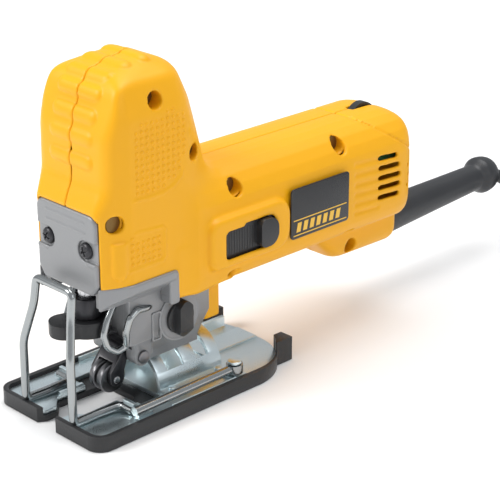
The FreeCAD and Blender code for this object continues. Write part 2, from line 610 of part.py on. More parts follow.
# ======== Gears and motor ========
def gears_and_motor():
    axle_gap = GEAR_AXLE_R + RUN_GAP
    face = GEAR_Y[1] - GEAR_Y[0]
    gear = gear_blank(GEAR_TEETH, 0.6 * MODULE, GEAR_Y[0], GEAR_Y[1], GEAR_Z, 0.0)
    gear = gear.cut(rod("Y", (0, GEAR_Y[0], GEAR_Z), face, GEAR_BUSH_R))
    for i in range(5):
        angle = 2 * math.pi * i / 5 + math.pi / 5
        x, z = 11.5 * math.sin(angle), GEAR_Z + 11.5 * math.cos(angle)
        if i != 2:
            gear = gear.cut(rod("Y", (x, GEAR_Y[0], z), face, 2.6))
    pin_spot = (0, GEAR_Y[0] - 4.9, GEAR_Z - CRANK_R)
    pin_hole = rod("Y", (0, GEAR_Y[0], GEAR_Z - CRANK_R), face, CRANK_PIN_R)
    parts["drive_gear"] = gear.cut(pin_hole)
    parts["gear_bush"] = ring("Y", (0, GEAR_Y[0], GEAR_Z), face, GEAR_BUSH_R, axle_gap)
    parts["crank_pin"] = rod("Y", pin_spot, face + 4.9, CRANK_PIN_R)
    # The gear has a tooth at its lowest point, so the pinion has a gap at its highest.
    half_pitch = math.pi / PINION_TEETH
    pinion = gear_blank(PINION_TEETH, MODULE, GEAR_Y[0] - 0.5, GEAR_Y[1] + 0.5, MOTOR_Z, half_pitch)
    bore = rod("Y", (0, GEAR_Y[0] - 1, MOTOR_Z), face + 2, PINION_BORE_R)
    parts["pinion"] = pinion.cut(bore)
    shaft = fuse([rod("Y", (0, GEAR_Y[0] - 0.5, MOTOR_Z), face + 1.5, PINION_BORE_R),
                  rod("Y", (0, GEAR_Y[1] + 1, MOTOR_Z), REAR_BEARING_Y + BEARING_W - GEAR_Y[1] - 1,
                      SHAFT_R)])
    parts["armature_shaft"] = shaft
    core = ring("Y", (0, ARMATURE_Y[0], MOTOR_Z), ARMATURE_Y[1] - ARMATURE_Y[0], ARMATURE_R, SHAFT_R)
    slots = []
    coils = []
    for i in range(12):
        slot = rod("Y", (0, ARMATURE_Y[0] - 1, MOTOR_Z + ARMATURE_R - 2.6),
                   ARMATURE_Y[1] - ARMATURE_Y[0] + 2, 1.7)
        slot.rotate(V(0, 0, MOTOR_Z), V(0, 1, 0), 30 * i)
        slots.append(slot)
        coil = rod("Y", (0, ARMATURE_Y[0] - 1, MOTOR_Z + ARMATURE_R - 2.6),
                   ARMATURE_Y[1] - ARMATURE_Y[0] + 2, 1.5)
        coil.rotate(V(0, 0, MOTOR_Z), V(0, 1, 0), 30 * i)
        coils.append(coil)
    parts["armature_core"] = core.cut(fuse(slots))
    ends = [ring("Y", (0, ARMATURE_Y[0] - WINDING_OVERHANG, MOTOR_Z), WINDING_OVERHANG,
                 ARMATURE_R - 1, SHAFT_R),
            ring("Y", (0, ARMATURE_Y[1], MOTOR_Z), WINDING_OVERHANG, ARMATURE_R - 1, SHAFT_R)]
    parts["armature_windings"] = fuse(ends + coils)
    parts["commutator"] = ring("Y", (0, COMMUTATOR_Y[0], MOTOR_Z), COMMUTATOR_Y[1] - COMMUTATOR_Y[0],
                               COMMUTATOR_R, SHAFT_R)
    hub = ring("Y", (0, FAN_Y[0], MOTOR_Z), FAN_Y[1] - FAN_Y[0], 6, SHAFT_R)
    disc = ring("Y", (0, FAN_Y[0], MOTOR_Z), 1.6, FAN_R, SHAFT_R)
    blades = []
    for i in range(15):
        blade = box(-0.6, 0.6, FAN_Y[0] + 1, FAN_Y[1], MOTOR_Z + 10, MOTOR_Z + FAN_R - 0.5)
        blade.rotate(V(0, 0, MOTOR_Z), V(0, 1, 0), 24 * i)
        blades.append(blade)
    parts["cooling_fan"] = fuse([hub, disc] + blades)
    stator = ring("Y", (0, ARMATURE_Y[0], MOTOR_Z), ARMATURE_Y[1] - ARMATURE_Y[0], STATOR_R,
                  ARMATURE_R + AIR_GAP)
    window = ring("Y", (0, ARMATURE_Y[0] - 1, MOTOR_Z), ARMATURE_Y[1] - ARMATURE_Y[0] + 2,
                  STATOR_R - 3.5, ARMATURE_R + AIR_GAP + 2)
    pole_gap = [box(x0, x0 + 12, -10, 200, MOTOR_Z - 6, MOTOR_Z + 6) for x0 in (-STATOR_R + 2, STATOR_R - 14)]
    window = window.common(fuse(pole_gap))
    parts["stator_core"] = largest(stator.cut(window))
    coil = window.common(ring("Y", (0, -10, MOTOR_Z), 200, STATOR_R - 3.8, ARMATURE_R + AIR_GAP + 2.3))
    end_ring = ring("Y", (0, ARMATURE_Y[0] - WINDING_OVERHANG, MOTOR_Z), WINDING_OVERHANG,
                    STATOR_R - 2, ARMATURE_R + 2)
    rear_ring = end_ring.copy()
    rear_ring.translate(V(0, ARMATURE_Y[1] - ARMATURE_Y[0] + WINDING_OVERHANG, 0))
    parts["stator_windings"] = fuse([coil, end_ring, rear_ring])
    parts["rear_bearing"] = ring("Y", (0, REAR_BEARING_Y, MOTOR_Z), BEARING_W, BEARING_R, SHAFT_R)
    # Two carbon brushes on the commutator, each in a brass holder.
    gap = 0.15
    brush = box(COMMUTATOR_R + gap, BRUSH_END, BRUSH_Y - BRUSH_HALF, BRUSH_Y + BRUSH_HALF,
                MOTOR_Z - 2.5, MOTOR_Z + 2.5)
    holder = box(COMMUTATOR_R + 2, BRUSH_END + 3, BRUSH_Y - BRUSH_HALF - 1, BRUSH_Y + BRUSH_HALF + 1,
                 MOTOR_Z - 3.5, MOTOR_Z + 3.5).cut(brush)
    parts["carbon_brushes"] = Part.makeCompound(both_sides(brush))
    parts["brush_holders"] = Part.makeCompound(both_sides(holder))




# ======== Switch, dial and electronics ========
def controls():
    z0, z1 = SWITCH_Z[0] - FLANGE_OVER, SWITCH_Z[1] + FLANGE_OVER
    flange = prism("YZ", [(FLANGE_Y[0], z0, 2), (FLANGE_Y[1], z0, 2), (FLANGE_Y[1], z1, 2),
                          (FLANGE_Y[0], z1, 2)], *FLANGE_X)
    g0, g1 = SWITCH_Z[0] + SWITCH_GAP, SWITCH_Z[1] - SWITCH_GAP
    grip = prism("YZ", [(GRIP_Y[0], g0, 3), (GRIP_Y[1], g0, 6), (GRIP_Y[1], g1, 6),
                        (GRIP_Y[0], g1, 3)], FLANGE_X[1] - 0.5, GRIP_X)
    middle = (SWITCH_Z[0] + SWITCH_Z[1]) / 2
    stem = box(STEM_X, FLANGE_X[0] + 0.5, STEM_Y[0], STEM_Y[1], middle - 4.5, middle + 4.5)
    parts["switch_slider"] = fuse([flange, grip, stem])
    parts["switch_body"] = box(14.5, 26.0, 17.5, 40, 60, 90)
    parts["speed_dial"] = ring("X", (-DIAL_W / 2, DIAL_Y, DIAL_Z), DIAL_W, DIAL_R, 2.0 + RUN_GAP)
    board = box(-20, 20, DIAL_Y - 10, DIAL_Y + 8, 84, 88)
    stand = [box(x, x + 2, DIAL_Y - 4, DIAL_Y + 4, 88, DIAL_Z + 3) for x in (-5.5, 3.5)]
    pin = rod("X", (-5.5, DIAL_Y, DIAL_Z), 11, 2.0)
    parts["electronics_module"] = fuse([board, pin] + stand)


# ======== Pendulum fork, roller, selector ========
def pendulum():
    py, pz = FORK_PIVOT
    ry, rz = ROLLER
    hub = rod("X", (-FORK_HALF, py, pz), 2 * FORK_HALF, 4.0)
    arm = prism("YZ", [(py - 3, pz - 3.4, 0), (py + 3.4, pz - 2, 0), (py + 3.4, pz + 3, 0),
                       (py - 4, pz + 3.4, 2), (ry - 3.6, rz + 4, 3), (ry - 3.2, rz - 3.2, 3),
                       (ry + 3.6, rz - 3, 3), (ry + 5, rz + 4, 3)], -FORK_HALF, FORK_HALF)
    gap = ROLLER_HALF + 0.35
    room = rod("X", (-gap, ry, rz), 2 * gap, ROLLER_R + 0.8)
    fork = fuse([hub, arm]).cut(room)
    fork = fork.cut(rod("X", (-20, py, pz), 40, FORK_PIN_R + RUN_GAP))
    fork = fork.cut(rod("X", (-20, ry, rz), 40, ROLLER_PIN_R))
    parts["pendulum_fork"] = largest(fork)
    parts["fork_pin"] = fuse([rod("X", (-LUG_X[1], py, pz), 2 * LUG_X[1], FORK_PIN_R),
                              rod("X", (LUG_X[1], py, pz), 1.2, FORK_PIN_R + 1.2)])
    parts["roller_pin"] = rod("X", (-FORK_HALF - 0.6, ry, rz), 2 * FORK_HALF + 1.2, ROLLER_PIN_R)
    roller = rod("X", (-ROLLER_HALF, ry, rz), 2 * ROLLER_HALF, ROLLER_R)
    groove = ring("X", (-0.9, ry, rz), 1.8, ROLLER_R + 1, ROLLER_R - 2.6)
    parts["guide_roller"] = roller.cut(groove).cut(rod("X", (-9, ry, rz), 18, ROLLER_PIN_R + RUN_GAP))
    sy, sz = SELECTOR
    face = CASE_HALF + 0.3
    disc = rod("X", (face, sy, sz), 1.6, 8.0)
    half, width = SELECTOR_LENGTH / 2, SELECTOR_WIDTH / 2
    blade = prism("YZ", [(sy - width, sz - half + 4, 2), (sy, sz - half, 3), (sy + width, sz - half + 4, 2),
                         (sy + width, sz + half - 4, 2), (sy, sz + half, 3),
                         (sy - width, sz + half - 4, 2)], face, SELECTOR_OUT)
    slope = [(face + 2, sz - half - 1, 0), (SELECTOR_OUT + 1, sz - half - 1, 0),
             (SELECTOR_OUT + 1, sz - half + 7, 0)]
    blade = blade.cut(prism("XZ", slope, sy - 10, sy + 10))
    parts["selector_knob"] = fuse([disc, blade]).cut(rod("X", (0, sy, sz), face + 3, SELECTOR_SHAFT_R))
    parts["selector_shaft"] = rod("X", (15.3, sy, sz), face + 3 - 15.3, SELECTOR_SHAFT_R)


# ======== Shoe ========
def plan_outline(grow):
    """Outline of the shoe in plan, grown outwards by grow, as a full closed corner list."""
    half = SHOE_HALF + grow
    return [(-half, SHOE_FRONT - grow, FRONT_CORNER_R + grow), (half, SHOE_FRONT - grow, FRONT_CORNER_R + grow),
            (half, SHOE_REAR, REAR_CORNER_R + grow), (-half, SHOE_REAR, REAR_CORNER_R + grow)]


def shoe():
    slot = prism("XY", mirrored_outline([
        (SLOT_MOUTH_HALF + 3, SHOE_FRONT - 1, 0), (SLOT_MOUTH_HALF, SHOE_FRONT + 4, 0),
        (SLOT_MOUTH_HALF, SLOT_MOUTH_END, 0), (SLOT_HALF, SLOT_MOUTH_END + 6, 0),
        (SLOT_HALF, SLOT_END, 3)]), -1, 20)
    tray = prism("XY", plan_outline(0), 0, OVERSHOE_FLOOR)
    rim = prism("XY", plan_outline(0), 0, RIM_TOP).cut(prism("XY", plan_outline(-RIM_WIDTH), -1, 20))
    rim = rim.cut(box(-24, 24, SHOE_REAR - 8, SHOE_REAR + 5, OVERSHOE_FLOOR, 30))
    width, depth, height = TAB_SIZE
    tab = box(21, 21 + width, SHOE_REAR - 9, SHOE_REAR - 9 + depth, 0, height)
    tab = tab.cut(prism("XY", plan_outline(-RIM_WIDTH), OVERSHOE_FLOOR, 30))
    parts["overshoe"] = largest(fuse([tray, rim] + both_sides(tab)).cut(slot))
    plate = prism("XY", plan_outline(-RIM_WIDTH - PLATE_GAP), OVERSHOE_FLOOR, PLATE_TOP)
    wide_slot = prism("XY", mirrored_outline([
        (SLOT_MOUTH_HALF + 4.2, SHOE_FRONT - 1, 0), (SLOT_MOUTH_HALF + 1.2, SHOE_FRONT + 5, 0),
        (SLOT_MOUTH_HALF + 1.2, SLOT_MOUTH_END, 0), (SLOT_HALF + 1.2, SLOT_MOUTH_END + 6, 0),
        (SLOT_HALF + 1.2, PIT_FRONT, 0)]), -1, 20)
    pit = box(-PIT_HALF, PIT_HALF, PIT_FRONT, PIT_END, 0, 20)
    tab_x = -17.0
    fence_tab = box(tab_x, tab_x + 2.2, SHOE_REAR - 18, SHOE_REAR - 3, OVERSHOE_FLOOR, PLATE_TOP + 5.5)
    rail = [box(-1, 1, SLOT_MOUTH_END + 8, PIT_FRONT - 1, PLATE_TOP - 1, PLATE_TOP + 1.5)]
    for bar in rail:
        bar.translate(V(SLOT_HALF + 2.2, 0, 0))
    rails = rail + [bar.mirror(V(0, 0, 0), V(1, 0, 0)) for bar in rail]
    parts["shoe_plate"] = largest(fuse([plate.cut(wide_slot).cut(pit), fence_tab] + rails))
    saddle()
    shoe_lever()
    guard()


def saddle():
    y0, y1 = SADDLE_FRONT, SADDLE_REAR
    shell = ring("Y", (0, y0, PLATE_TOP), y1 - y0, SADDLE_R, SADDLE_R - SADDLE_T)
    shell = shell.common(box(-40, 40, y0, y1, PLATE_TOP + 0.02, 60))
    flange = box(SADDLE_R - SADDLE_T, SADDLE_FLANGE, y0, y1, PLATE_TOP, PLATE_TOP + SADDLE_T)
    body = fuse([shell] + both_sides(flange))
    for slot_y0, slot_y1 in ARC_SLOTS:
        wedge = prism("XZ", [(0, 0, 0), (60 * math.sin(math.radians(ARC_SLOT_ANGLE)),
                                         60 * math.cos(math.radians(ARC_SLOT_ANGLE)), 0),
                             (0, 90, 0), (-60 * math.sin(math.radians(ARC_SLOT_ANGLE)),
                                          60 * math.cos(math.radians(ARC_SLOT_ANGLE)), 0)],
                      slot_y0, slot_y1)
        wedge.translate(V(0, 0, PLATE_TOP))
        body = body.cut(wedge)
    parts["saddle"] = body
    rivets = []
    for y in (y0 + 5, y1 - 5):
        x = SADDLE_FLANGE - 3.2
        for side in (-1, 1):
            rivets.append(fuse([rod("Z", (side * x, y, PLATE_TOP + SADDLE_T), 1.2, 2.0)]))
    parts["saddle_rivets"] = Part.makeCompound(rivets)
    inner = SADDLE_R - SADDLE_T - SEAT_GAP
    bar = ring("Y", (0, y0 + 2, PLATE_TOP), y1 - y0 - 6, inner, inner - CLAMP_BAR_T)
    reach = 60 * math.tan(math.radians(CLAMP_BAR_ANGLE))
    keep = prism("XZ", [(0, PLATE_TOP, 0), (reach, PLATE_TOP + 60, 0), (-reach, PLATE_TOP + 60, 0)], -60, 60)
    bar = bar.common(keep)
    bolts = []
    for slot_y0, slot_y1 in ARC_SLOTS:
        y = (slot_y0 + slot_y1) / 2
        low = PLATE_TOP + inner - CLAMP_BAR_T
        bolts.append(fuse([rod("Z", (0, y, low - 1.6), 1.6, 3.6), rod("Z", (0, y, low), 13, CLAMP_BOLT_R)]))
        bar = bar.cut(rod("Z", (0, y, 0), 60, CLAMP_BOLT_R))
        bar = bar.cut(rod("Z", (0, y, low - 1.6), 1.6, 3.6))
    parts["clamp_bar"] = bar
    parts["clamp_bolts"] = Part.makeCompound(bolts)


def shoe_lever():
    px, py = ROD_LEVER_PIVOT
    z = ROD_LEVER_Z
    bar = wire_bar([(px + 1.0, -41, z), (px, py - 6, z), (px, py, z)], [0, 40, 0], ROD_LEVER_R)
    eye = rod("Z", (px, py, z - ROD_LEVER_R), 2 * ROD_LEVER_R, 4.2)
    bore = rod("Z", (px, py, 0), 30, 2.0 + RUN_GAP)
    parts["shoe_lever"] = fuse([bar, eye]).cut(bore)
    pin = fuse([rod("Z", (px, py, PLATE_TOP), 9, 2.0), rod("Z", (px, py, z + ROD_LEVER_R + 0.3), 1.6, 3.4)])
    foot = box(px - 4, px + 3.4, py - 4, py + 5, PLATE_TOP, PLATE_TOP + 1.6)
    parts["lever_bracket"] = fuse([pin, foot])


def guard():
    """Chrome wire guard in front of the blade, its two runs clipped down on the shoe."""
    top_z, knee_z, foot_z = 66.0, 56.0, PLATE_TOP + GUARD_WIRE_R + 0.4
    top_y, knee_y, foot_y = -57.5, -63.5, -62.0
    top_x, knee_x, foot_x, clip_x, clip_y = 12.5, 15.5, 17.5, 25.0, -38.0
    left = [(clip_x, clip_y, foot_z), (foot_x, foot_y, foot_z), (knee_x, knee_y, knee_z),
            (top_x, top_y, top_z)]
    points = left + [(-x, y, z) for x, y, z in reversed(left)]
    parts["wire_guard"] = wire_bar(points, [0, 4.5, 9, 5, 5, 9, 4.5, 0], GUARD_WIRE_R)
    clips = []
    for side in (-1, 1):
        foot = box(clip_x - 5, clip_x + 6.5, clip_y + 0.2, clip_y + 9, PLATE_TOP, PLATE_TOP + 1.2)
        stand = box(clip_x - 5, clip_x + 2.6, clip_y + 0.2, clip_y + 2.2, PLATE_TOP, PLATE_TOP + 6)
        clip = fuse([foot, stand])
        clips.append(clip if side > 0 else clip.mirror(V(0, 0, 0), V(1, 0, 0)))
    parts["guard_clips"] = Part.makeCompound(clips)
    loop = wire_bar([(LOOP_X, -34, CASE_FLOOR), (LOOP_X, -35.5, 57), (LOOP_X, -42.5, 46),
                     (LOOP_X, -39.0, 32), (LOOP_X, -28.5, 33.5), (LOOP_X, -25.8, 42),
                     (LOOP_X + 4, -20.5, 50)], [0, 8, 7, 4.5, 4.5, 6, 0], LOOP_WIRE_R)
    parts["finger_guard"] = Part.makeCompound(both_sides(loop))


# ======== Cord guard, cord, coil and plug ========
def cord():
    tilt = math.degrees(math.atan2(GUARD_END_Z - GUARD_ROOT_Z, GUARD_END_Y - GUARD_ROOT_Y))
    length = math.hypot(GUARD_END_Y - GUARD_ROOT_Y, GUARD_END_Z - GUARD_ROOT_Z)
    outline = [(0, 0), (GUARD_ROOT_R + 1.5, 0), (GUARD_ROOT_R + 1.5, 2.4), (GUARD_ROOT_R - 2.4, 2.4),
               (GUARD_ROOT_R - 2.4, 5.6), (GUARD_ROOT_R, 5.6), (GUARD_TIP_R, length - 16),
               (GUARD_FLARE_R, length - 8), (GUARD_FLARE_R, length - 4), (CORD_D / 2 + 2, length), (0, length)]
    points = [V(r, y, 0) for r, y in outline]
    sleeve = Part.Face(Part.makePolygon(points + points[:1])).revolve(V(0, 0, 0), V(0, 1, 0), 360)
    sleeve.rotate(V(0, 0, 0), V(1, 0, 0), tilt)
    sleeve.translate(V(0, GUARD_ROOT_Y, GUARD_ROOT_Z))
    parts["cord_guard"] = sleeve
    for name, route in (("power_cord", CORD_ROUTE), ("plug_cord", PLUG_ROUTE)):
        radii = route_radii(route)
        tube = wire_bar(route, radii, CORD_D / 2)
        path = Part.Wire(rounded_edges([V(*p) for p in route], radii, False))
        ratio = tube.Volume / (math.pi * CORD_D ** 2 / 4 * path.Length)
        print(name, "length", round(path.Length, 1), "volume ratio", round(ratio, 4),
              "bend radii", [round(r, 1) for r in radii[1:-1]])
        parts[name] = tube
    half = COIL_ROWS * CORD_D / 2
    coil = ring("Z", (*COIL_CENTRE, 0), 2 * half, COIL_TURN_R + half, COIL_TURN_R - half)
    edges = [edge for edge in coil.Edges if edge.Curve.TypeId == "Part::GeomCircle"]
    parts["cord_coil"] = coil.makeFillet(CORD_D / 2 - 0.3, edges)
    plug()


def plug():
    """Two-pin contour plug lying flat on the coil."""
    x, _, z = PLUG_ROUTE[-1]
    neck = Part.makeCone(CORD_D / 2 + 0.8, 7.0, PLUG_NECK, V(x, PLUG_BACK_Y, z), V(0, 1, 0))
    back = PLUG_BACK_Y + PLUG_NECK - 1
    front = back + PLUG_LENGTH
    outline = [(x + 9, back, 4), (x + PLUG_HALF, back + 14, 8), (x + PLUG_HALF - 2, front, 3),
               (x - PLUG_HALF + 2, front, 3), (x - PLUG_HALF, back + 14, 8), (x - 9, back, 4)]
    body = prism("XY", outline, z - PLUG_HEIGHT / 2, z + PLUG_HEIGHT / 2)
    pins = [rod("Y", (x + side * PIN_SPACING / 2, front - 4, z), PIN_LENGTH + 4, PIN_R)
            for side in (-1, 1)]
    parts["plug"] = fuse([neck, body]).cut(fuse(pins))
    parts["plug_pins"] = Part.makeCompound(pins)


def main():
    os.makedirs("parts", exist_ok=True)
    housing()
    gear_case()
    front_plate()
    plunger()
    gears_and_motor()
    controls()
    pendulum()
    shoe()
    cord()
    for name, shape in parts.items():
        shape.exportStep("parts/" + name + ".step")
        print(name, len(shape.Solids), "solid", shape.isValid(), round(shape.Volume))


main()
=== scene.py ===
import json
import math
import bmesh
import bpy
import numpy as np
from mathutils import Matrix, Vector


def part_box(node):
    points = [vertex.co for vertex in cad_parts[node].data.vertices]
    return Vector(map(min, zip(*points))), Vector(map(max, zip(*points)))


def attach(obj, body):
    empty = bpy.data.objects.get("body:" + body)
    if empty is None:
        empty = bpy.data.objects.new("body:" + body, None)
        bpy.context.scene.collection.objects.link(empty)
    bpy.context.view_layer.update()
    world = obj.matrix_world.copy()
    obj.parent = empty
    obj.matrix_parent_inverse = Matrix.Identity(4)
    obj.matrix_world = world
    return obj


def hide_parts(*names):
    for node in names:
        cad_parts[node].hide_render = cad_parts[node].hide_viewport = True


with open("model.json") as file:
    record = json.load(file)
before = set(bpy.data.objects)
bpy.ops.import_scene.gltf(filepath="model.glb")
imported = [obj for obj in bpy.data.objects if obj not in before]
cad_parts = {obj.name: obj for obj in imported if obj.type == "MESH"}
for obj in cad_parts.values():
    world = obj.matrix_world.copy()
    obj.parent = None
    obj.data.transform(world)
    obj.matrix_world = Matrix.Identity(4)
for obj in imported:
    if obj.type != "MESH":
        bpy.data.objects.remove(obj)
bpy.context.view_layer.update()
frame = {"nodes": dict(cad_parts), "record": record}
import openvdb
from mathutils import Matrix, Vector

scene = bpy.context.scene
MM = 0.001

# ======== Camera, floor and light ========
# The tool stands on its shoe on a plain pale table inside a white light tent.
# One large soft lamp is high at the front, a weak one stands on the switch side
# and a broad one hangs overhead.
CAMERA_PLACE = (0.56469, -0.48677, 0.37652)
CAMERA_TURN, CAMERA_RISE = math.radians(45.7), math.radians(22.42)
CAMERA_LENS = 122.4
FAR_CLIP = 50
TENT_COLOUR, TENT_STRENGTH = (0.95, 0.97, 1, 1), 0.56
TABLE_HALF, TABLE_DROP = 6, 0.0003
PAPER_GREY, PAPER_ROUGH, PAPER_GRAIN, PAPER_BUMP = 0.93, 0.9, 400, 0.03
# name, place, aimed at, size, power, colour
LAMPS = (
    ("key lamp", (-0.75, -1.25, 1.15), (0, 0.03, 0.08), 0.8, 19.5, (1, 0.985, 0.96)),
    ("side lamp", (1.5, -0.1, 0.75), (0, 0.05, 0.08), 0.9, 3, (0.97, 0.985, 1)),
    ("top lamp", (0.0, 0.35, 1.6), (0, 0.05, 0.05), 1.2, 17, (1, 1, 1)),
)
back = Vector((math.sin(CAMERA_TURN) * math.cos(CAMERA_RISE), -math.cos(CAMERA_TURN) * math.cos(CAMERA_RISE),
               math.sin(CAMERA_RISE)))
across = Vector((math.cos(CAMERA_TURN), math.sin(CAMERA_TURN), 0))
camera = bpy.data.objects.new("camera", bpy.data.cameras.new("camera"))
scene.collection.objects.link(camera)
camera.matrix_world = Matrix.Translation(CAMERA_PLACE) @ Matrix(
    (across, back.cross(across), back)).transposed().to_4x4()
camera.data.lens = CAMERA_LENS
camera.data.clip_end = FAR_CLIP
scene.camera = camera
scene.view_settings.view_transform = "Standard"
scene.view_settings.look = "None"

for name, place, aim, size, power, colour in LAMPS:
    lamp = bpy.data.lights.new(name, "AREA")
    lamp.shape, lamp.size, lamp.energy, lamp.color = "DISK", size, power, colour
    holder = bpy.data.objects.new(name, lamp)
    scene.collection.objects.link(holder)
    holder.location = place
    holder.rotation_euler = (Vector(aim) - Vector(place)).to_track_quat("-Z", "Y").to_euler()
world = bpy.data.worlds.new("tent")
world.use_nodes = True
world.node_tree.nodes["Background"].inputs["Color"].default_value = TENT_COLOUR
world.node_tree.nodes["Background"].inputs["Strength"].default_value = TENT_STRENGTH
scene.world = world


def object_from(name, shape, material):
    """A piece from a mesh, or from a bmesh, which is used up."""
    if isinstance(shape, bmesh.types.BMesh):
        mesh = bpy.data.meshes.new(name)
        shape.to_mesh(mesh)
        shape.free()
        shape = mesh
    shape.materials.append(material)
    piece = bpy.data.objects.new(name, shape)
    scene.collection.objects.link(piece)
    return piece


paper = bpy.data.materials.new("paper")
paper.use_nodes = True
paper_shader = paper.node_tree.nodes["Principled BSDF"]
paper_shader.inputs["Base Color"].default_value = (PAPER_GREY, PAPER_GREY, PAPER_GREY, 1)
paper_shader.inputs["Roughness"].default_value = PAPER_ROUGH
paper_grain = paper.node_tree.nodes.new("ShaderNodeTexNoise")
paper_grain.inputs["Scale"].default_value = PAPER_GRAIN
paper_bump = paper.node_tree.nodes.new("ShaderNodeBump")
paper_bump.inputs["Strength"].default_value = PAPER_BUMP
paper.node_tree.links.new(paper_grain.outputs["Fac"], paper_bump.inputs["Height"])
paper.node_tree.links.new(paper_bump.outputs["Normal"], paper_shader.inputs["Normal"])
table = bmesh.new()
bmesh.ops.create_grid(table, x_segments=8, y_segments=8, size=TABLE_HALF)
bmesh.ops.translate(table, verts=table.verts, vec=(0, 0, -TABLE_DROP))
object_from("table", table, paper)


# ======== Mains lead, coil and plug ========
# Black rubber-sheathed two-core flex, 7.5 mm across, about 2.3 m long, extruded.
# It droops out of its sleeve to the table, lies in a coil wound by hand, and ends
# in a plug that is moulded on in one piece.
def finish(name, colour, rough, metal=0.0, mottle=0.1, patch=35, grain=1400, bump=0.12, wear=0.0,
           worn=(0.5, 0.5, 0.5), edge=0.7, brushed=None, spread=0.1):
    """A worn, grained surface: mottled colour, uneven gloss, fine relief and rubbed edges."""
    material = bpy.data.materials.new(name)
    material.use_nodes = True
    tree = material.node_tree
    shader = tree.nodes["Principled BSDF"]

    def node(kind, **values):
        made = tree.nodes.new("ShaderNode" + kind)
        for key, value in values.items():
            made.inputs[key.replace("_", " ")].default_value = value
        return made

    def join(a, out, b, into):
        tree.links.new(a.outputs[out], b.inputs[into])

    place = node("TexCoord")
    broad = node("TexNoise", Scale=patch, Detail=5.0, Roughness=0.6)
    fine = node("TexNoise", Scale=grain, Detail=3.0, Roughness=0.55)
    join(place, "Object", broad, "Vector")
    if brushed:
        stretch = node("Mapping")
        stretch.inputs["Scale"].default_value = brushed
        join(place, "Object", stretch, "Vector")
        join(stretch, "Vector", fine, "Vector")
    else:
        join(place, "Object", fine, "Vector")
    tint = node("Mix")
    tint.data_type = "RGBA"
    tint.inputs["A"].default_value = (*[c * (1 - mottle) for c in colour], 1)
    tint.inputs["B"].default_value = (*[min(1, c * (1 + mottle)) for c in colour], 1)
    join(broad, "Fac", tint, "Factor")
    gloss = node("MapRange")
    gloss.inputs["From Min"].default_value = 0.3
    gloss.inputs["From Max"].default_value = 0.7
    gloss.inputs["To Min"].default_value = max(0.03, rough - spread)
    gloss.inputs["To Max"].default_value = min(1, rough + spread)
    mixed, half = node("Math"), node("Math")
    mixed.operation, half.operation = "MULTIPLY_ADD", "MULTIPLY"
    mixed.inputs[1].default_value = half.inputs[1].default_value = 0.5
    join(broad, "Fac", half, 0)
    join(fine, "Fac", mixed, 0)
    join(half, 0, mixed, 2)
    join(mixed, 0, gloss, "Value")
    join(gloss, "Result", shader, "Roughness")
    relief = node("Bump", Strength=bump, Distance=0.0004)
    join(fine, "Fac", relief, "Height")
    join(relief, "Normal", shader, "Normal")
    last = tint
    if wear:
        rounded = node("Bevel", Radius=edge * MM)
        rounded.samples = 4
        shape = node("NewGeometry")
        dot = node("VectorMath")
        dot.operation = "DOT_PRODUCT"
        join(rounded, "Normal", dot, 0)
        join(shape, "Normal", dot, 1)
        rubbed = node("MapRange")
        rubbed.inputs["From Min"].default_value = 0.995
        rubbed.inputs["From Max"].default_value = 0.86
        rubbed.inputs["To Min"].default_value = 0.0
        rubbed.inputs["To Max"].default_value = wear
        patchy = node("Math")
        patchy.operation = "MULTIPLY"
        join(dot, "Value", rubbed, "Value")
        join(rubbed, "Result", patchy, 0)
        join(mixed, 0, patchy, 1)
        bare = node("Mix")
        bare.data_type = "RGBA"
        bare.inputs["B"].default_value = (*worn, 1)
        join(patchy, 0, bare, "Factor")
        join(tint, "Result", bare, "A")
        last = bare
    join(last, "Result", shader, "Base Color")
    shader.inputs["Metallic"].default_value = metal
    return material


def eased(share):
    """A share kept between 0 and 1 that leaves and arrives gently."""
    share = np.clip(share, 0, 1)
    return share * share * (3 - 2 * share)


def round_wire(name, runs, radius, material, around, along):
    """Round flex or wire, each run drawn smoothly by its (x, y, z) points in mm."""
    curve = bpy.data.curves.new(name, "CURVE")
    curve.dimensions = "3D"
    for route in runs:
        spline = curve.splines.new("NURBS")
        spline.points.add(len(route) - 1)
        for spot, (x, y, z) in zip(spline.points, route):
            spot.co = (x * MM, y * MM, z * MM, 1)
        spline.order_u = 3
        spline.use_endpoint_u = True
        spline.resolution_u = along
    curve.bevel_depth = radius * MM
    curve.bevel_resolution = around
    curve.use_fill_caps = True
    curve.materials.append(material)
    piece = bpy.data.objects.new(name, curve)
    scene.collection.objects.link(piece)
    return piece


flex_rubber = finish("flex rubber", (0.02, 0.021, 0.023), 0.5, mottle=0.2, bump=0.1)
CORD_D = 7.5
LEAD_START = [(0, 236, 44.3), (0, 256.5, 45), (2.8, 277, 33), (12, 288, 13), (27, 292.7, 3.8)]
LEAD_END = [(8, 302.5, 23), (34, 303, 28), (54.4, 325, 32.5), (54.4, 347, 32.5)]
COIL_X, COIL_Y = 18.0, 347.0
OUTER_R, MIDDLE_R, INNER_R = 51.5, 44.0, 36.5
LOW_Z, MID_Z, HIGH_Z = 3.8, 11.3, 18.7
COIL_ROWS = ((OUTER_R, LOW_Z), (OUTER_R, MID_Z), (MIDDLE_R, MID_Z), (MIDDLE_R, LOW_Z), (INNER_R, LOW_Z),
             (INNER_R, MID_Z), (INNER_R, HIGH_Z), (MIDDLE_R, HIGH_Z))
COIL_START, COIL_END = 300.0, 235.0     # degrees round the coil
PER_TURN = 20                           # points in each turn
CROSSING = 0.14                         # share of a turn in which the flex moves to the next row
coil_turns = len(COIL_ROWS) - (COIL_START - COIL_END) / 360
steps = round(coil_turns * PER_TURN)
chord_growth = 1 / math.cos(math.pi / PER_TURN)
coil_route = []
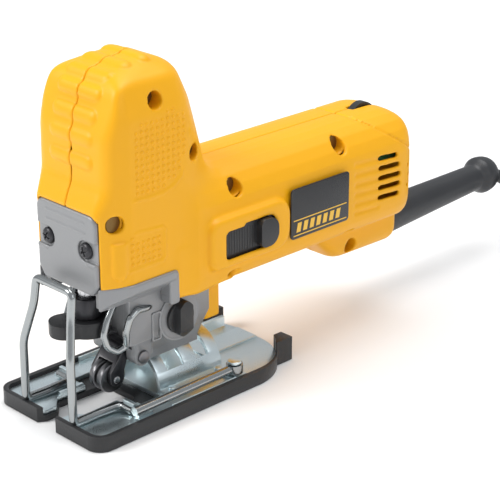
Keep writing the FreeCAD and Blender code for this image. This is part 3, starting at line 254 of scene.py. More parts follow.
for step in range(steps + 1):
    wound = coil_turns * step / steps
    row = int(wound)
    shift = eased((wound - row - 1 + CROSSING) / CROSSING)
    (r0, z0), (r1, z1) = COIL_ROWS[row], COIL_ROWS[min(row + 1, len(COIL_ROWS) - 1)]
    angle = math.radians(COIL_START + 360 * wound)
    reach = (r0 + (r1 - r0) * shift) * chord_growth
    coil_route.append((COIL_X + reach * math.cos(angle), COIL_Y + reach * math.sin(angle),
                       z0 + (z1 - z0) * shift))
lead = round_wire("mains_lead", [LEAD_START + coil_route + LEAD_END], CORD_D / 2, flex_rubber, 5, 6)
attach(lead, "tool")
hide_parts("power_cord", "plug_cord", "cord_coil")


def body_of(node):
    """The moving body that a CAD node belongs to."""
    bodies = frame["record"]["behaviour"]["bodies"]
    return next(name for name, nodes in bodies.items() if node in nodes)


def stands_for(piece, *nodes):
    """A piece shown in place of CAD nodes, moving as the first of them."""
    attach(piece, body_of(nodes[0]))
    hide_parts(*nodes)
    return piece


def rides(piece, body):
    """A small piece added to a body, with no CAD node of its own."""
    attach(piece, body)
    return piece


def round_edges(piece, width, segments, angle=30, harden=True):
    """Round every edge that is sharper than an angle in degrees."""
    rounding = piece.modifiers.new("rounding", "BEVEL")
    rounding.width, rounding.segments = width * MM, segments
    rounding.limit_method, rounding.angle_limit = "ANGLE", math.radians(angle)
    rounding.harden_normals = harden


MERGE_DISTANCE, FLAT_DEGREES, EDGE_DEGREES = 2e-6, 0.6, 32


def softened(node, material, width, segments=2):
    """A copy of a piece with its edges rounded as moulding, casting or tumbling leaves them."""
    mesh = frame["nodes"][node].data.copy()
    work = bmesh.new()
    work.from_mesh(mesh)
    bmesh.ops.remove_doubles(work, verts=work.verts, dist=MERGE_DISTANCE)
    bmesh.ops.dissolve_limit(work, angle_limit=math.radians(FLAT_DEGREES), verts=work.verts, edges=work.edges)
    for face in work.faces:
        face.smooth = True
        face.material_index = 0
    work.to_mesh(mesh)
    work.free()
    mesh.materials.clear()
    piece = object_from("shaped_" + node, mesh, material)
    round_edges(piece, width, segments, EDGE_DEGREES)
    return stands_for(piece, node)


def paint(node, material):
    """Keep a piece's own shape and give it its surface."""
    mesh_object = frame["nodes"][node]
    for slot in mesh_object.material_slots:
        slot.material = material
    if not mesh_object.material_slots:
        mesh_object.data.materials.append(material)


plug_rubber = finish("plug rubber", (0.035, 0.036, 0.039), 0.45, mottle=0.15, bump=0.2, wear=0.3)
nickel = finish("nickel plating", (0.72, 0.69, 0.62), 0.25, metal=1.0, mottle=0.06, bump=0.04, spread=0.08)
plug_body = softened("plug", plug_rubber, 1.6, 4)
pins = softened("plug_pins", nickel, 0.7, 3)


# ======== Sleeve where the lead leaves the handle ========
# One flexible tube of soft black rubber with a flared, rounded mouth, moulded round
# the flex and gripped by a groove in the two halves of the housing.
def turned(name, profile, start, end, material, around=64):
    """A body of revolution from (distance along, radius) pairs between two points in mm."""
    start, end = Vector(start), Vector(end)
    axis = (end - start).normalized()
    side = axis.orthogonal().normalized()
    other = axis.cross(side)
    work = bmesh.new()
    rings = []
    for along, radius in profile:
        ring = []
        for i in range(around):
            spin = 2 * math.pi * i / around
            spot = start + axis * along + (side * math.cos(spin) + other * math.sin(spin)) * radius
            ring.append(work.verts.new(spot * MM))
        rings.append(ring)
    for low, high in zip(rings, rings[1:]):
        for i in range(around):
            j = (i + 1) % around
            work.faces.new((low[i], low[j], high[j], high[i]))
    work.faces.new(list(reversed(rings[0])))
    work.faces.new(rings[-1])
    bmesh.ops.recalc_face_normals(work, faces=work.faces)
    for face in work.faces:
        face.smooth = len(face.verts) == 4
    return object_from(name, work, material)


sleeve_rubber = finish("sleeve rubber", (0.023, 0.0245, 0.028), 0.42, mottle=0.18, patch=60, bump=0.16,
                       spread=0.08)
SLEEVE_START, SLEEVE_END = (0, 153.2, 41.5), (0, 258.0, 45.0)
TUBE_R, NECK_R, BULB_R, MOUTH_R = 10.0, 7.5, 10.5, 4.4
TUBE_STEPS, FLARE_STEPS, BULB_STEPS = 14, 8, 11
sleeve_length = (Vector(SLEEVE_END) - Vector(SLEEVE_START)).length
tube, neck, widest, mouth = 5.9, sleeve_length - 16.6, sleeve_length - 10.6, sleeve_length - 0.8
# Collar, the groove that the housing grips, then the tube, its flare and its rounded mouth.
sleeve_profile = [(0, 10.9), (0.4, 11.4), (2.0, 11.4), (2.4, 11.0), (2.5, 7.7), (5.5, 7.7), (5.6, 9.6),
                  (tube, TUBE_R)]
for step in range(1, TUBE_STEPS + 1):
    part = step / TUBE_STEPS
    sleeve_profile.append((tube + (neck - tube) * part, TUBE_R - (TUBE_R - NECK_R) * part ** 0.85))
for step in range(1, FLARE_STEPS + 1):
    part = step / FLARE_STEPS
    sleeve_profile.append((neck + (widest - neck) * part,
                           NECK_R + (BULB_R - NECK_R) * math.sin(part * math.pi / 2) ** 1.6))
for step in range(1, BULB_STEPS + 1):
    bend = math.pi / 2 * step / BULB_STEPS
    sleeve_profile.append((widest + (mouth - widest) * math.sin(bend),
                           MOUTH_R + (BULB_R - MOUTH_R) * math.cos(bend) ** 0.8))
sleeve_profile += [(mouth, 4.0), (sleeve_length - 3.0, 3.9)]
sleeve = turned("lead_sleeve", sleeve_profile, SLEEVE_START, SLEEVE_END, sleeve_rubber)
stands_for(sleeve, "cord_guard")


# ======== Yellow housing ========
# Two handed halves moulded in glass-filled nylon, screwed together across the tool.
# The knob has seven rounded finger ribs over its front and top, dotted grip patches
# on its sides, and the barrel has louvred air slots at the rear.
def corner_points(corners, steps=7):
    """An outline of (a, b, radius) corners with its corners rounded."""
    points = []
    for i, (a, b, radius) in enumerate(corners):
        here = np.array((a, b), float)
        if radius == 0:
            points.append(tuple(here))
            continue
        before = np.array(corners[i - 1][:2], float) - here
        after = np.array(corners[(i + 1) % len(corners)][:2], float) - here
        before /= np.linalg.norm(before)
        after /= np.linalg.norm(after)
        half = math.acos(max(-1, min(1, float(before @ after)))) / 2
        middle = before + after
        middle /= np.linalg.norm(middle)
        centre = here + middle * radius / math.sin(half)
        first = here + before * radius / math.tan(half) - centre
        last = here + after * radius / math.tan(half) - centre
        start = math.atan2(first[1], first[0])
        sweep = (math.atan2(last[1], last[0]) - start + math.pi) % (2 * math.pi) - math.pi
        for step in range(steps + 1):
            angle = start + sweep * step / steps
            points.append((centre[0] + radius * math.cos(angle), centre[1] + radius * math.sin(angle)))
    return points


def flat_distance(corners, a, b):
    """Signed distance to a rounded outline, negative inside."""
    points = corner_points(corners)
    a, b = np.broadcast_arrays(np.asarray(a, np.float32), np.asarray(b, np.float32))
    best = np.full(a.shape, 1e9, np.float32)
    inside = np.zeros(a.shape, bool)
    for (ax, ay), (bx, by) in zip(points, points[1:] + points[:1]):
        ex, ey = bx - ax, by - ay
        if ex * ex + ey * ey < 1e-9:
            continue
        along = np.clip(((a - ax) * ex + (b - ay) * ey) / (ex * ex + ey * ey), 0, 1)
        best = np.minimum(best, (a - ax - ex * along) ** 2 + (b - ay - ey * along) ** 2)
        if ey:
            inside ^= ((ay > b) != (by > b)) & (a < ex * (b - ay) / ey + ax)
    return np.where(inside, -1, 1) * np.sqrt(best)


def join_soft(a, b, blend):
    """Two shapes joined, with a fillet about as wide as blend."""
    spread = np.maximum(blend - np.abs(a - b), 0) / blend
    return np.minimum(a, b) - spread * spread * blend / 4


def keep_soft(a, b, blend):
    """What two shapes have in common, with its edges rounded."""
    return -join_soft(-a, -b, blend)


def block(x, y, z, low, high, radius=0.0):
    """Signed distance to a box with rounded edges."""
    total, inner = 0, -1e9
    for value, a, b in zip((x, y, z), low, high):
        out = np.abs(value - (a + b) / 2) - (b - a) / 2 + radius
        total = total + np.maximum(out, 0) ** 2
        inner = np.maximum(inner, out)
    return np.sqrt(total) + np.minimum(inner, 0) - radius


def bar(x, y, z, start, end, radius):
    """Signed distance to a round-ended bar between two points."""
    run = [e - s for s, e in zip(start, end)]
    length = sum(r * r for r in run) or 1e-9
    along = ((x - start[0]) * run[0] + (y - start[1]) * run[1] + (z - start[2]) * run[2]) / length
    along = np.clip(along, 0, 1)
    return np.sqrt((x - start[0] - run[0] * along) ** 2 + (y - start[1] - run[1] * along) ** 2
                   + (z - start[2] - run[2] * along) ** 2) - radius


class Carving:
    """A block of space in mm that shapes are added to and cut from."""

    def __init__(self, low, high, step):
        self.low, self.step = low, step
        axes = [np.arange(a, b + step, step, dtype=np.float32) for a, b in zip(low, high)]
        self.axes = axes
        self.x, self.y, self.z = axes[0][:, None, None], axes[1][None, :, None], axes[2][None, None, :]
        self.field = None

    def edit(self, low, high, change, limit=None):
        """Apply change(field, x, y, z) inside one box only, and keep it within a limiting field."""
        cut = []
        for axis, a, b in zip(self.axes, low, high):
            first = int(np.searchsorted(axis, a))
            last = int(np.searchsorted(axis, b))
            if last <= first:
                return
            cut.append(slice(first, last))
        sx, sy, sz = cut
        changed = change(self.field[sx, sy, sz], self.x[sx], self.y[:, sy], self.z[:, :, sz])
        if limit is not None:
            changed = np.maximum(changed, limit[sx, sy, sz])
        self.field[sx, sy, sz] = changed

    def edit_side(self, side, depth, low, high, change):
        """The same on one side of the tool: depth off its middle plane, low and high as (y, z)."""
        near, far = sorted(side * x for x in depth)
        self.edit((near, *low), (far, *high), change)

    def skin(self, name, field, material):
        """The surface of a field as a smooth piece."""
        band = 3 * self.step
        grid = openvdb.FloatGrid(band)
        grid.copyFromArray(np.clip(field, -band, band).astype(np.float32), tolerance=1e-4)
        points, quads = grid.convertToQuads(isovalue=0.0)
        points = (points * self.step + np.array(self.low)) * MM
        mesh = bpy.data.meshes.new(name)
        a, b, c = (points[quads[:, i]] for i in (0, 1, 2))
        if float(np.einsum("ij,ij->i", a, np.cross(b, c)).sum()) < 0:
            quads = quads[:, ::-1]
        mesh.vertices.add(len(points))
        mesh.vertices.foreach_set("co", points.astype(np.float32).ravel())
        mesh.loops.add(quads.size)
        mesh.loops.foreach_set("vertex_index", quads.astype(np.int32).ravel())
        mesh.polygons.add(len(quads))
        mesh.polygons.foreach_set("loop_start", np.arange(0, quads.size, 4, dtype=np.int32))
        mesh.polygons.foreach_set("use_smooth", np.ones(len(quads), bool))
        mesh.update(calc_edges=True)
        mesh.validate()
        return object_from(name, mesh, material)


def off_axis(a, b, centre):
    """Distance from an axis that runs square to a and b."""
    return np.sqrt((a - centre[0]) ** 2 + (b - centre[1]) ** 2)


def swell(f, off, height, half, full, power):
    """Raise a surface round a line: off is the distance from it, half the half width raised."""
    return f - height * np.clip(full - (np.maximum(off, 0) / half) ** 2, 0, 1) ** power


def mirrored(half):
    """An outline from its right half."""
    return half + [(-a, b, radius) for a, b, radius in reversed(half)]


WALL = 2.2
KNOB_HALF = 28.8
shell = Carving((-35.0, -55.0, 31.0), (35.0, 162.0, 173.0), 0.7)
X, Y, Z = shell.x, shell.y, shell.z
knob_profile = flat_distance([
    (-52.2, 55.5, 0), (-52.4, 106, 3), (-46.8, 117, 12), (-46.2, 140, 26), (-37.5, 165, 15), (-13.5, 171, 22),
    (1.5, 165.5, 16), (9.5, 149, 40), (16.5, 126, 30), (23, 104, 0), (23, 55.5, 0)], Y, Z)
# The back of the knob curves forward towards its sides.
LEAN, LEAN_FROM, LEAN_OVER = 13.0, 9, 20
BACK_FROM, BACK_OVER = -28, 24
lean = LEAN * (np.maximum(np.abs(shell.axes[0]) - LEAN_FROM, 0) / LEAN_OVER) ** 2
ease = eased((shell.axes[1] - BACK_FROM) / BACK_OVER)
knob_side = np.empty((len(shell.axes[0]),) + knob_profile.shape[1:], np.float32)
for column, shift in enumerate(lean):
    spot = np.arange(len(shell.axes[1])) + shift * ease / shell.step
    first = np.minimum(spot.astype(int), len(spot) - 2)
    share = np.clip(spot - first, 0, 1)[:, None]
    knob_side[column] = knob_profile[0, first] * (1 - share) + knob_profile[0, first + 1] * share
knob_plan = flat_distance(mirrored([
    (20.9, -52.8, 3), (KNOB_HALF, -36, 5), (KNOB_HALF, -2, 20), (17, 25, 14)]), X, Y)
knob_front = flat_distance(mirrored([
    (KNOB_HALF, 55.5, 0), (KNOB_HALF, 147, 12), (23.8, 162.5, 8), (9, 171.4, 12)]), X, Z)
knob = keep_soft(keep_soft(knob_side, knob_plan, 5.0), knob_front, 4.0)
barrel_round = flat_distance(mirrored([(31, 50.5, 18), (31, 111, 26)]), X, Z)
barrel_side = flat_distance([(0, 49.5, 0), (160, 49.5, 12), (160, 112, 16), (0, 112, 0)], Y, Z)
barrel_plan = flat_distance(mirrored([(32, 0, 0), (32, 160, 18)]), X, Y)
barrel = keep_soft(keep_soft(barrel_round, barrel_side, 7.0), barrel_plan, 7.0)
bulge = keep_soft(
    flat_distance([(96, 50.5, 0), (113, 34.5, 14), (158, 33, 7), (158, 65.5, 0), (96, 65.5, 0)], Y, Z),
    flat_distance(mirrored([(17, 32, 12), (17, 65.5, 0)]), X, Z), 6.0)
skirt = block(X, Y, Z, (-27.2, -9, 55.5), (27.2, 27, 80.5), 1.5)
post = block(X, Y, Z, (-17.5, 16.8, 33), (17.5, 27, 60), 1.5)
body = join_soft(join_soft(knob, barrel, 9.0), bulge, 3.0)
body = join_soft(join_soft(body, skirt, 3.0), post, 2.0)
shell.field = np.maximum(body, -(body + WALL))


def side_at(y, z):
    """Half width of the housing at a spot on its side."""
    j, k = (int(round((v - a) / shell.step)) for v, a in zip((y, z), shell.low[1:]))
    column = body[:, j, k]
    last = np.nonzero(column < 0)[0][-1]
    share = column[last] / (column[last] - column[last + 1])
    return float(shell.axes[0][last] + share * shell.step)


# Seven finger ribs over the front and top, and one upright rib on each side behind the front plate.
RIB_HEIGHT, RIB_HALF, RIB_REACH, RIB_FULL, RIB_POWER = 1.5, 3.6, 11.5, 1.0, 0.7
FINGER_RIBS = ((-46.4, 127.3), (-44.9, 137.9), (-43.4, 147.9), (-41.0, 157.9), (-33.6, 163.6), (-24.6, 167.0),
               (-13.6, 168.8))
for y0, z0 in FINGER_RIBS:
    shell.edit((-17, y0 - 8, z0 - 8), (17, y0 + 8, z0 + 8), lambda f, x, y, z: swell(
        f, bar(x, y, z, (-RIB_REACH, y0, z0), (RIB_REACH, y0, z0), 0),
        RIB_HEIGHT, RIB_HALF, RIB_FULL, RIB_POWER))
SIDE_RIB_HEIGHT, SIDE_RIB_HALF, SIDE_RIB_FULL, SIDE_RIB_POWER = 1.5, 3.3, 1.3, 0.4
SIDE_RIB_X, SIDE_RIB_Y, SIDE_RIB_Z = 26.4, -42.2, (78, 93.5)
for side in (-1, 1):
    rib_low, rib_high = ((side * SIDE_RIB_X, SIDE_RIB_Y, z) for z in SIDE_RIB_Z)
    shell.edit_side(side, (15, 35), (-54, 68), (-34, 104), lambda f, x, y, z: swell(
        f, bar(x, y, z, rib_low, rib_high, 0), SIDE_RIB_HEIGHT, SIDE_RIB_HALF, SIDE_RIB_FULL, SIDE_RIB_POWER))


def raised_line(route, sink, radius=1.0):
    """A fine moulded line that follows (y, z) points over both sides."""
    for (y0, z0), (y1, z1) in zip(route, route[1:]):
        x0, x1 = side_at(y0, z0) - sink, side_at(y1, z1) - sink
        for side in (-1, 1):
            shell.edit_side(side, (min(x0, x1) - 3, max(x0, x1) + 3), (min(y0, y1) - 3, min(z0, z1) - 3),
                            (max(y0, y1) + 3, max(z0, z1) + 3), lambda f, x, y, z: join_soft(
                f, bar(x, y, z, (side * x0, y0, z0), (side * x1, y1, z1), radius), 0.5))


# Outline of the upper grip patch, then a frame round the lower one.
raised_line([(0.5, 136), (0.0, 128), (-2.2, 121), (-6.0, 115.6), (-11, 112), (-17, 110.3), (-25, 110),
             (-34, 110.6)], 0.42)
raised_line([(-38.5, 79), (-38.5, 94), (-37, 95.5), (-18, 94.0), (-16.6, 92.5), (-16.6, 79.5), (-18, 78),
             (-37, 77.6), (-38.5, 79)], 0.45)

# Openings for the front plate, the casting's shoulder and the gear case, and the plunger's bore.
for opening_low, opening_high, corner in (((-21.2, -80, 0), (21.2, -45.5, 105.2), 4.0),
                                          ((-60, -80, 0), (60, -9, 70.5), 4.0),
                                          ((-21.4, -80, 0), (21.4, 16.6, 73), 0.0)):
    shell.edit((-35, -56, 30), (35, 20, 110), lambda f, x, y, z: np.maximum(
        f, -block(x, y, z, opening_low, opening_high, corner)))
PLUNGER_Y, PLUNGER_BORE_R = -41, 4.8
shell.edit((-8, -50, 70), (8, -32, 132), lambda f, x, y, z: np.maximum(
    f, -(off_axis(x, y, (0, PLUNGER_Y)) - PLUNGER_BORE_R + 0 * z)))

# Screw holes, with a tube moulded round each one: y, z and depth. The short screw is on the left side only.
SCREW_HOLE_R, SCREW_TUBE_WALL, SCREW_TUBE_END = 4.1, 1.4, 1.5
LONG_SCREWS = ((-19.3, 153.5, 9), (4.0, 124.0, 9), (29.6, 100.0, 9), (102.9, 102.5, 9), (121.0, 42.0, 9))
SHORT_SCREW = (-43.0, 101.0, 4.5)
for hole_y, hole_z, deep in LONG_SCREWS + (SHORT_SCREW,):
    face = side_at(hole_y, hole_z)
    hole_low, hole_high = (hole_y - 9, hole_z - 9), (hole_y + 9, hole_z + 9)
    shell.edit((-35, *hole_low), (35, *hole_high), lambda f, x, y, z: np.minimum(f, np.maximum(
        np.maximum(off_axis(y, z, (hole_y, hole_z)) - SCREW_HOLE_R - SCREW_TUBE_WALL, np.abs(x) - face + 1.0),
        face - deep - SCREW_TUBE_END - np.abs(x))), body)
    for side in (1,) if (hole_y, hole_z, deep) == SHORT_SCREW else (-1, 1):
        shell.edit_side(side, (face - deep, face + 20), hole_low, hole_high, lambda f, x, y, z: keep_soft(
            f, -np.maximum(off_axis(y, z, (hole_y, hole_z)) - SCREW_HOLE_R + 0 * x,
                           face - deep - side * x), 0.6))

# Air slots, with shallow grooves leading to them, pin holes behind them and small pockets under the
# barrel where the mould's slides pulled out. The top groove has no slot.
VENT_ROWS = (65.0, 70.0, 75.3, 80.5, 85.8, 91.0)
GROOVE_Y, GROOVE_R, SLOT_R = (110, 127), 1.35, 1.25
SLOT_START, SLOT_END, SLOT_CURVE, SLOT_MIDDLE_Z = 128.7, 142.8, 0.015, 78
PIN_HOLES, PIN_HOLE_R = ((150.7, 82.1), (151.8, 76.8), (150.4, 71.4)), 0.95
POCKETS, POCKET_LENGTH, POCKET_R = ((27.5, 26.8, 58.3), (24.5, 109.5, 56.0)), 2.2, 1.9
for side in (-1, 1):
    for row, row_z in enumerate(VENT_ROWS):
        x0 = side * (side_at(118, row_z) + 0.5)
        shell.edit_side(side, (20, 36), (105, row_z - 5), (133, row_z + 6), lambda f, x, y, z: keep_soft(
            f, -bar(x, y, z, (x0, GROOVE_Y[0], row_z + 1.2), (x0, GROOVE_Y[1], row_z), GROOVE_R), 0.8))
        if row == 0:
            continue
        slot_end = SLOT_END - SLOT_CURVE * (row_z - SLOT_MIDDLE_Z) ** 2
        shell.edit_side(side, (18, 36), (122, row_z - 4), (150, row_z + 4), lambda f, x, y, z: keep_soft(
            f, -bar(0 * x, y, z, (0, SLOT_START, row_z), (0, slot_end, row_z - 0.8), SLOT_R), 0.7))
    for hole in PIN_HOLES:
        shell.edit_side(side, (15, 36), (hole[0] - 3, hole[1] - 3), (hole[0] + 3, hole[1] + 3),
                        lambda f, x, y, z: keep_soft(f, PIN_HOLE_R - off_axis(y, z, hole) + 0 * x, 0.5))
    for spot in POCKETS:
        shell.edit_side(side, (15, 36), (spot[1] - 9, spot[2] - 9), (spot[1] + 9, spot[2] + 9),
                        lambda f, x, y, z: keep_soft(f, POCKET_R - np.sqrt(
                            (x - side * spot[0]) ** 2 + ((y - spot[1]) / POCKET_LENGTH) ** 2
                            + (z - spot[2]) ** 2), 0.8))

# Line of the end cap over the rear of the barrel: where a slanting plane meets the top.
CAP_A, CAP_B, CAP_C = Vector((0, 122, 111)), Vector((20, 136.5, 101.6)), Vector((28, 154, 90))
CAP_LINE_HALF, CAP_LINE_DEPTH = 0.35, 0.7
cap_normal = (CAP_B - CAP_A).cross(CAP_C - CAP_A).normalized()
cap = sum((value - at) * along for value, at, along in zip((np.abs(X), Y, Z), CAP_A, cap_normal))
cap_line = np.maximum(np.abs(cap) - CAP_LINE_HALF, -(body + CAP_LINE_DEPTH))
shell.field = np.where((Y > 118) & (Z > 88), keep_soft(shell.field, -cap_line, 0.5), shell.field)
# Slot for the speed wheel and the hole for the sleeve.
SLEEVE_HOLE_R = 7.9
shell.edit((-6, 130, 98), (6, 160, 115), lambda f, x, y, z: keep_soft(
    f, -block(x, y, z, (-2.6, 135.4, 99), (2.6, 152.6, 120), 0.8), 0.9))
shell.edit((-14, 148, 30), (14, 162, 58), lambda f, x, y, z: np.maximum(
    f, -(off_axis(x, z, (SLEEVE_START[0], SLEEVE_START[2])) - SLEEVE_HOLE_R + 0 * y)))

# Raised frame of the slide switch on the left half, open for the slider, with the slider's pocket behind it.
FRAME_BACK, FRAME_FACE = 27.9, 33.4
FRAME_RIM = [(6.6, 64.3, 6), (60.2, 64.3, 9), (60.2, 90.3, 9), (6.6, 90.3, 7)]
FRAME_HOLE = [(17, 68.8, 2.0), (46, 68.8, 4.5), (50.2, 73.0, 4.5), (50.2, 82, 5), (46, 84.2, 5),
              (29.4, 84.2, 0.6), (28.6, 82.8, 0.6), (17, 82.8, 2.0)]
POCKET_LOW, POCKET_HIGH = (29.0, 8.1, 67.2), (31.9, 58.6, 85.8)


def switch_mount(f, x, y, z):
    """The housing with the raised frame added, then its opening and the pocket cut."""
    rim = flat_distance(FRAME_RIM, y[0], z[0])[None] + 0.4
    f = join_soft(f, keep_soft(rim, np.maximum(x - FRAME_FACE, FRAME_BACK - x), 2.6), 2.2)
    f = keep_soft(f, -flat_distance(FRAME_HOLE, y[0], z[0])[None] + 0 * x, 0.9)
    return np.maximum(f, -block(x, y, z, POCKET_LOW, POCKET_HIGH))


shell.edit((24, 2, 58), (35.5, 66, 96), switch_mount)

SEAM_HALF, SEAM_SOFT = 0.06, 0.55
yellow = finish("yellow nylon", (0.86, 0.41, 0.004), 0.42, mottle=0.05, patch=18, grain=2600, bump=0.14,
                spread=0.07)
yellow.node_tree.nodes["Principled BSDF"].inputs["Specular IOR Level"].default_value = 0.32
for half, sign in (("left", 1), ("right", -1)):
    half_field = keep_soft(shell.field, SEAM_HALF - sign * X, SEAM_SOFT)
    stands_for(shell.skin("housing_" + half + "_moulding", half_field, yellow), "housing_" + half)

# Grip dots, each a low dome moulded in the same nylon.
DOT_PATCHES = (
    [(-33, 112.5, 1), (-33, 144, 1), (-30.5, 146.5, 1), (-10, 148.5, 1), (-3.5, 146, 1), (-1.5, 130, 1),
     (-4, 122, 1), (-9, 115.5, 1), (-17, 112.5, 1)],
    [(-36.6, 79.6, 1), (-36.6, 93.5, 1), (-18.4, 92.3, 1), (-18.4, 79.8, 1)],
)
DOT_PITCH, DOT_TOP, DOT_INSET = 3.1, 0.56, 0.4
DOT_RINGS = ((0.5, 0.46), (0.92, 0.2), (1.2, -0.3))     # radius and height
DOT_SIDES = 10
DOT_TURNS = [2 * math.pi * step / DOT_SIDES for step in range(DOT_SIDES)]
for side, half in ((1, "left"), (-1, "right")):
    work = bmesh.new()
    for patch in DOT_PATCHES:
        ys, zs = [p[0] for p in patch], [p[1] for p in patch]
        for row in range(int((max(zs) - min(zs)) / DOT_PITCH) + 1):
            for column in range(int((max(ys) - min(ys)) / DOT_PITCH) + 1):
                y, z = min(ys) + 1 + column * DOT_PITCH, min(zs) + 1 + row * DOT_PITCH
                if float(flat_distance(patch, y, z)) > -DOT_INSET:
                    continue
                x = side_at(y, z)
                centre = work.verts.new(Vector((side * (x + DOT_TOP), y, z)) * MM)
                rings = [[work.verts.new(Vector((side * (x + height), y + radius * math.cos(turn),
                                                 z + radius * math.sin(turn))) * MM) for turn in DOT_TURNS]
                         for radius, height in DOT_RINGS]
                for a in range(DOT_SIDES):
                    b = (a + 1) % DOT_SIDES
                    work.faces.new((centre, rings[0][a], rings[0][b]))
                    for inner, outer in zip(rings, rings[1:]):
                        work.faces.new((inner[a], outer[a], outer[b], inner[b]))
    bmesh.ops.recalc_face_normals(work, faces=work.faces)
    for face in work.faces:
        face.smooth = True
    rides(object_from("grip_dots_" + half, work, yellow), "tool")

# The housing screws sit deep in their holes; their dark brown is painted shade, the shaded yellow of those
# recesses.
recess_shade_screw_steel = finish("screw steel in painted recess shade", (0.2, 0.12, 0.035), 0.4, metal=0.7, mottle=0.2, bump=0.1)
paint("housing_screws", recess_shade_screw_steel)


# ======== Motor, gear and plunger inside the halves ========
# A small universal motor of laminated steel and varnished copper, with its fan and
# brushes, drives a steel gear whose crank pin moves the ground steel plunger.
# They are pressed, wound and turned parts, held between ribs of the halves.
black_nylon = finish("black nylon", (0.017, 0.0175, 0.019), 0.42, mottle=0.2, bump=0.2, wear=0.25,
                     worn=(0.16, 0.16, 0.17))
steel = finish("ground steel", (0.58, 0.585, 0.6), 0.25, metal=1.0, mottle=0.08, bump=0.05)
gunmetal = finish("oiled steel", (0.2, 0.2, 0.21), 0.35, metal=1.0, mottle=0.2, bump=0.12)
black_steel = finish("blackened steel", (0.045, 0.045, 0.05), 0.36, metal=0.6, mottle=0.25, bump=0.12,
                     wear=0.5)
bronze = finish("sintered bronze", (0.5, 0.33, 0.14), 0.4, metal=1.0, mottle=0.15, bump=0.25)
copper = finish("varnished copper wire", (0.45, 0.16, 0.05), 0.3, metal=0.8, mottle=0.2, bump=0.6, grain=700)
laminated = finish("laminated core", (0.22, 0.22, 0.23), 0.5, metal=0.8, mottle=0.2, bump=0.5,
                   brushed=(1, 900, 1), grain=1.6)
for material, nodes in (
        (steel, ("plunger_rod", "crank_pin", "armature_shaft", "front_bearing", "rear_bearing", "gear_axle")),
        (gunmetal, ("yoke", "drive_gear", "pinion")),
        (bronze, ("plunger_bush", "gear_bush", "brush_holders")),
        (laminated, ("armature_core", "stator_core")),
        (copper, ("armature_windings", "commutator", "stator_windings")),
        (black_nylon, ("rod_seal", "cooling_fan")),
        (black_steel, ("carbon_brushes",))):
    for node in nodes:
        paint(node, material)


# ======== Gear case and front plate ========
# Both are die-cast in magnesium and painted grey. The case flares out under the
# yellow halves to a proud edge; the plate is held by two cross-recessed screws.
grey_paint = finish("grey painted magnesium", (0.275, 0.28, 0.288), 0.42, metal=0.35, mottle=0.08, bump=0.22,
                    grain=1800, wear=0.6, worn=(0.62, 0.63, 0.65))
softened("gear_case", grey_paint, 0.35)

CASE_HALF, FLARE_BY, FLARE_LOW, FLARE_TOP, FLARE_RISE = 21.4, 7.9, 59.5, 71.0, 8.5
LIP_BACK, LIP_FACE, FLARE_BACK = 20.5, 28.2, 20.8
flare = Carving((-30.5, -53.0, 53.0), (30.5, 20.0, 74.0), 0.5)
fx, fy, fz = np.abs(flare.x), flare.y, flare.z
flare_half = CASE_HALF + FLARE_BY * eased((fz - FLARE_LOW) / FLARE_RISE)
flare_plan = flat_distance(mirrored([(20.9, -51.8, 4), (29.3, -36, 6), (29.3, -9.6, 1)]), flare.x, flare.y)
flare.field = keep_soft(keep_soft((fx - flare_half) * 0.75 + 0 * fy, flare_plan + 0 * fz, 1.0),
                        np.maximum(fz - FLARE_TOP, FLARE_LOW - fz) + 0 * fx, 1.2)
step_lip = flat_distance([(-14, 53.8, 1.5), (-8.0, 53.8, 1.5), (-8.0, FLARE_TOP, 3), (-14, FLARE_TOP, 3)],
                         flare.y, flare.z)
step_lip = keep_soft(step_lip + 0 * fx, np.maximum(fx - LIP_FACE, LIP_BACK - fx), 1.2)
flare.field = np.minimum(flare.field, step_lip)
flare.field = np.maximum(flare.field, FLARE_BACK - fx + 0 * fy)
rides(flare.skin("casting_shoulder", flare.field, grey_paint), "tool")


def pressed_block(name, boxes, rounding, material, body):
    """Flat pressed or cast details, each a box given by two corners, with rounded edges."""
    work = bmesh.new()
    for low, high in boxes:
        for vertex in bmesh.ops.create_cube(work, size=1)["verts"]:
            vertex.co = Vector([(a + b) / 2 + at * (b - a) for a, b, at in zip(low, high, vertex.co)]) * MM
    for face in work.faces:
        face.smooth = True
    piece = object_from(name, work, material)
    round_edges(piece, rounding, 3)
    return rides(piece, body)


# Raised ring round the selector and cast frame lines on each cheek.
RING_PROFILE = [(0, 11.0), (0, 12.6), (0.5, 12.6), (0.8, 12.3), (0.8, 11.3), (0.5, 11.0)]
RING_Y, RING_Z, CHEEK = -3, 43.5, 20.9
FRAME_LINES = (((-19.8, 35.2), (-19.0, 49.6)), ((-15.0, 35.2), (-14.2, 49.6)), ((-19.8, 48.8), (-14.2, 49.6)),
               ((-19.8, 35.2), (-14.2, 36.0)))
for side, name in ((1, "left"), (-1, "right")):
    ring = turned("selector_ring_" + name, RING_PROFILE, (side * CHEEK, RING_Y, RING_Z),
                  (side * 30, RING_Y, RING_Z), grey_paint)
    rides(ring, "tool")
    x0, x1 = sorted((side * 20.6, side * 21.5))
    pressed_block("case_lines_" + name, [((x0, *low), (x1, *high)) for low, high in FRAME_LINES], 0.25,
                  grey_paint, "tool")

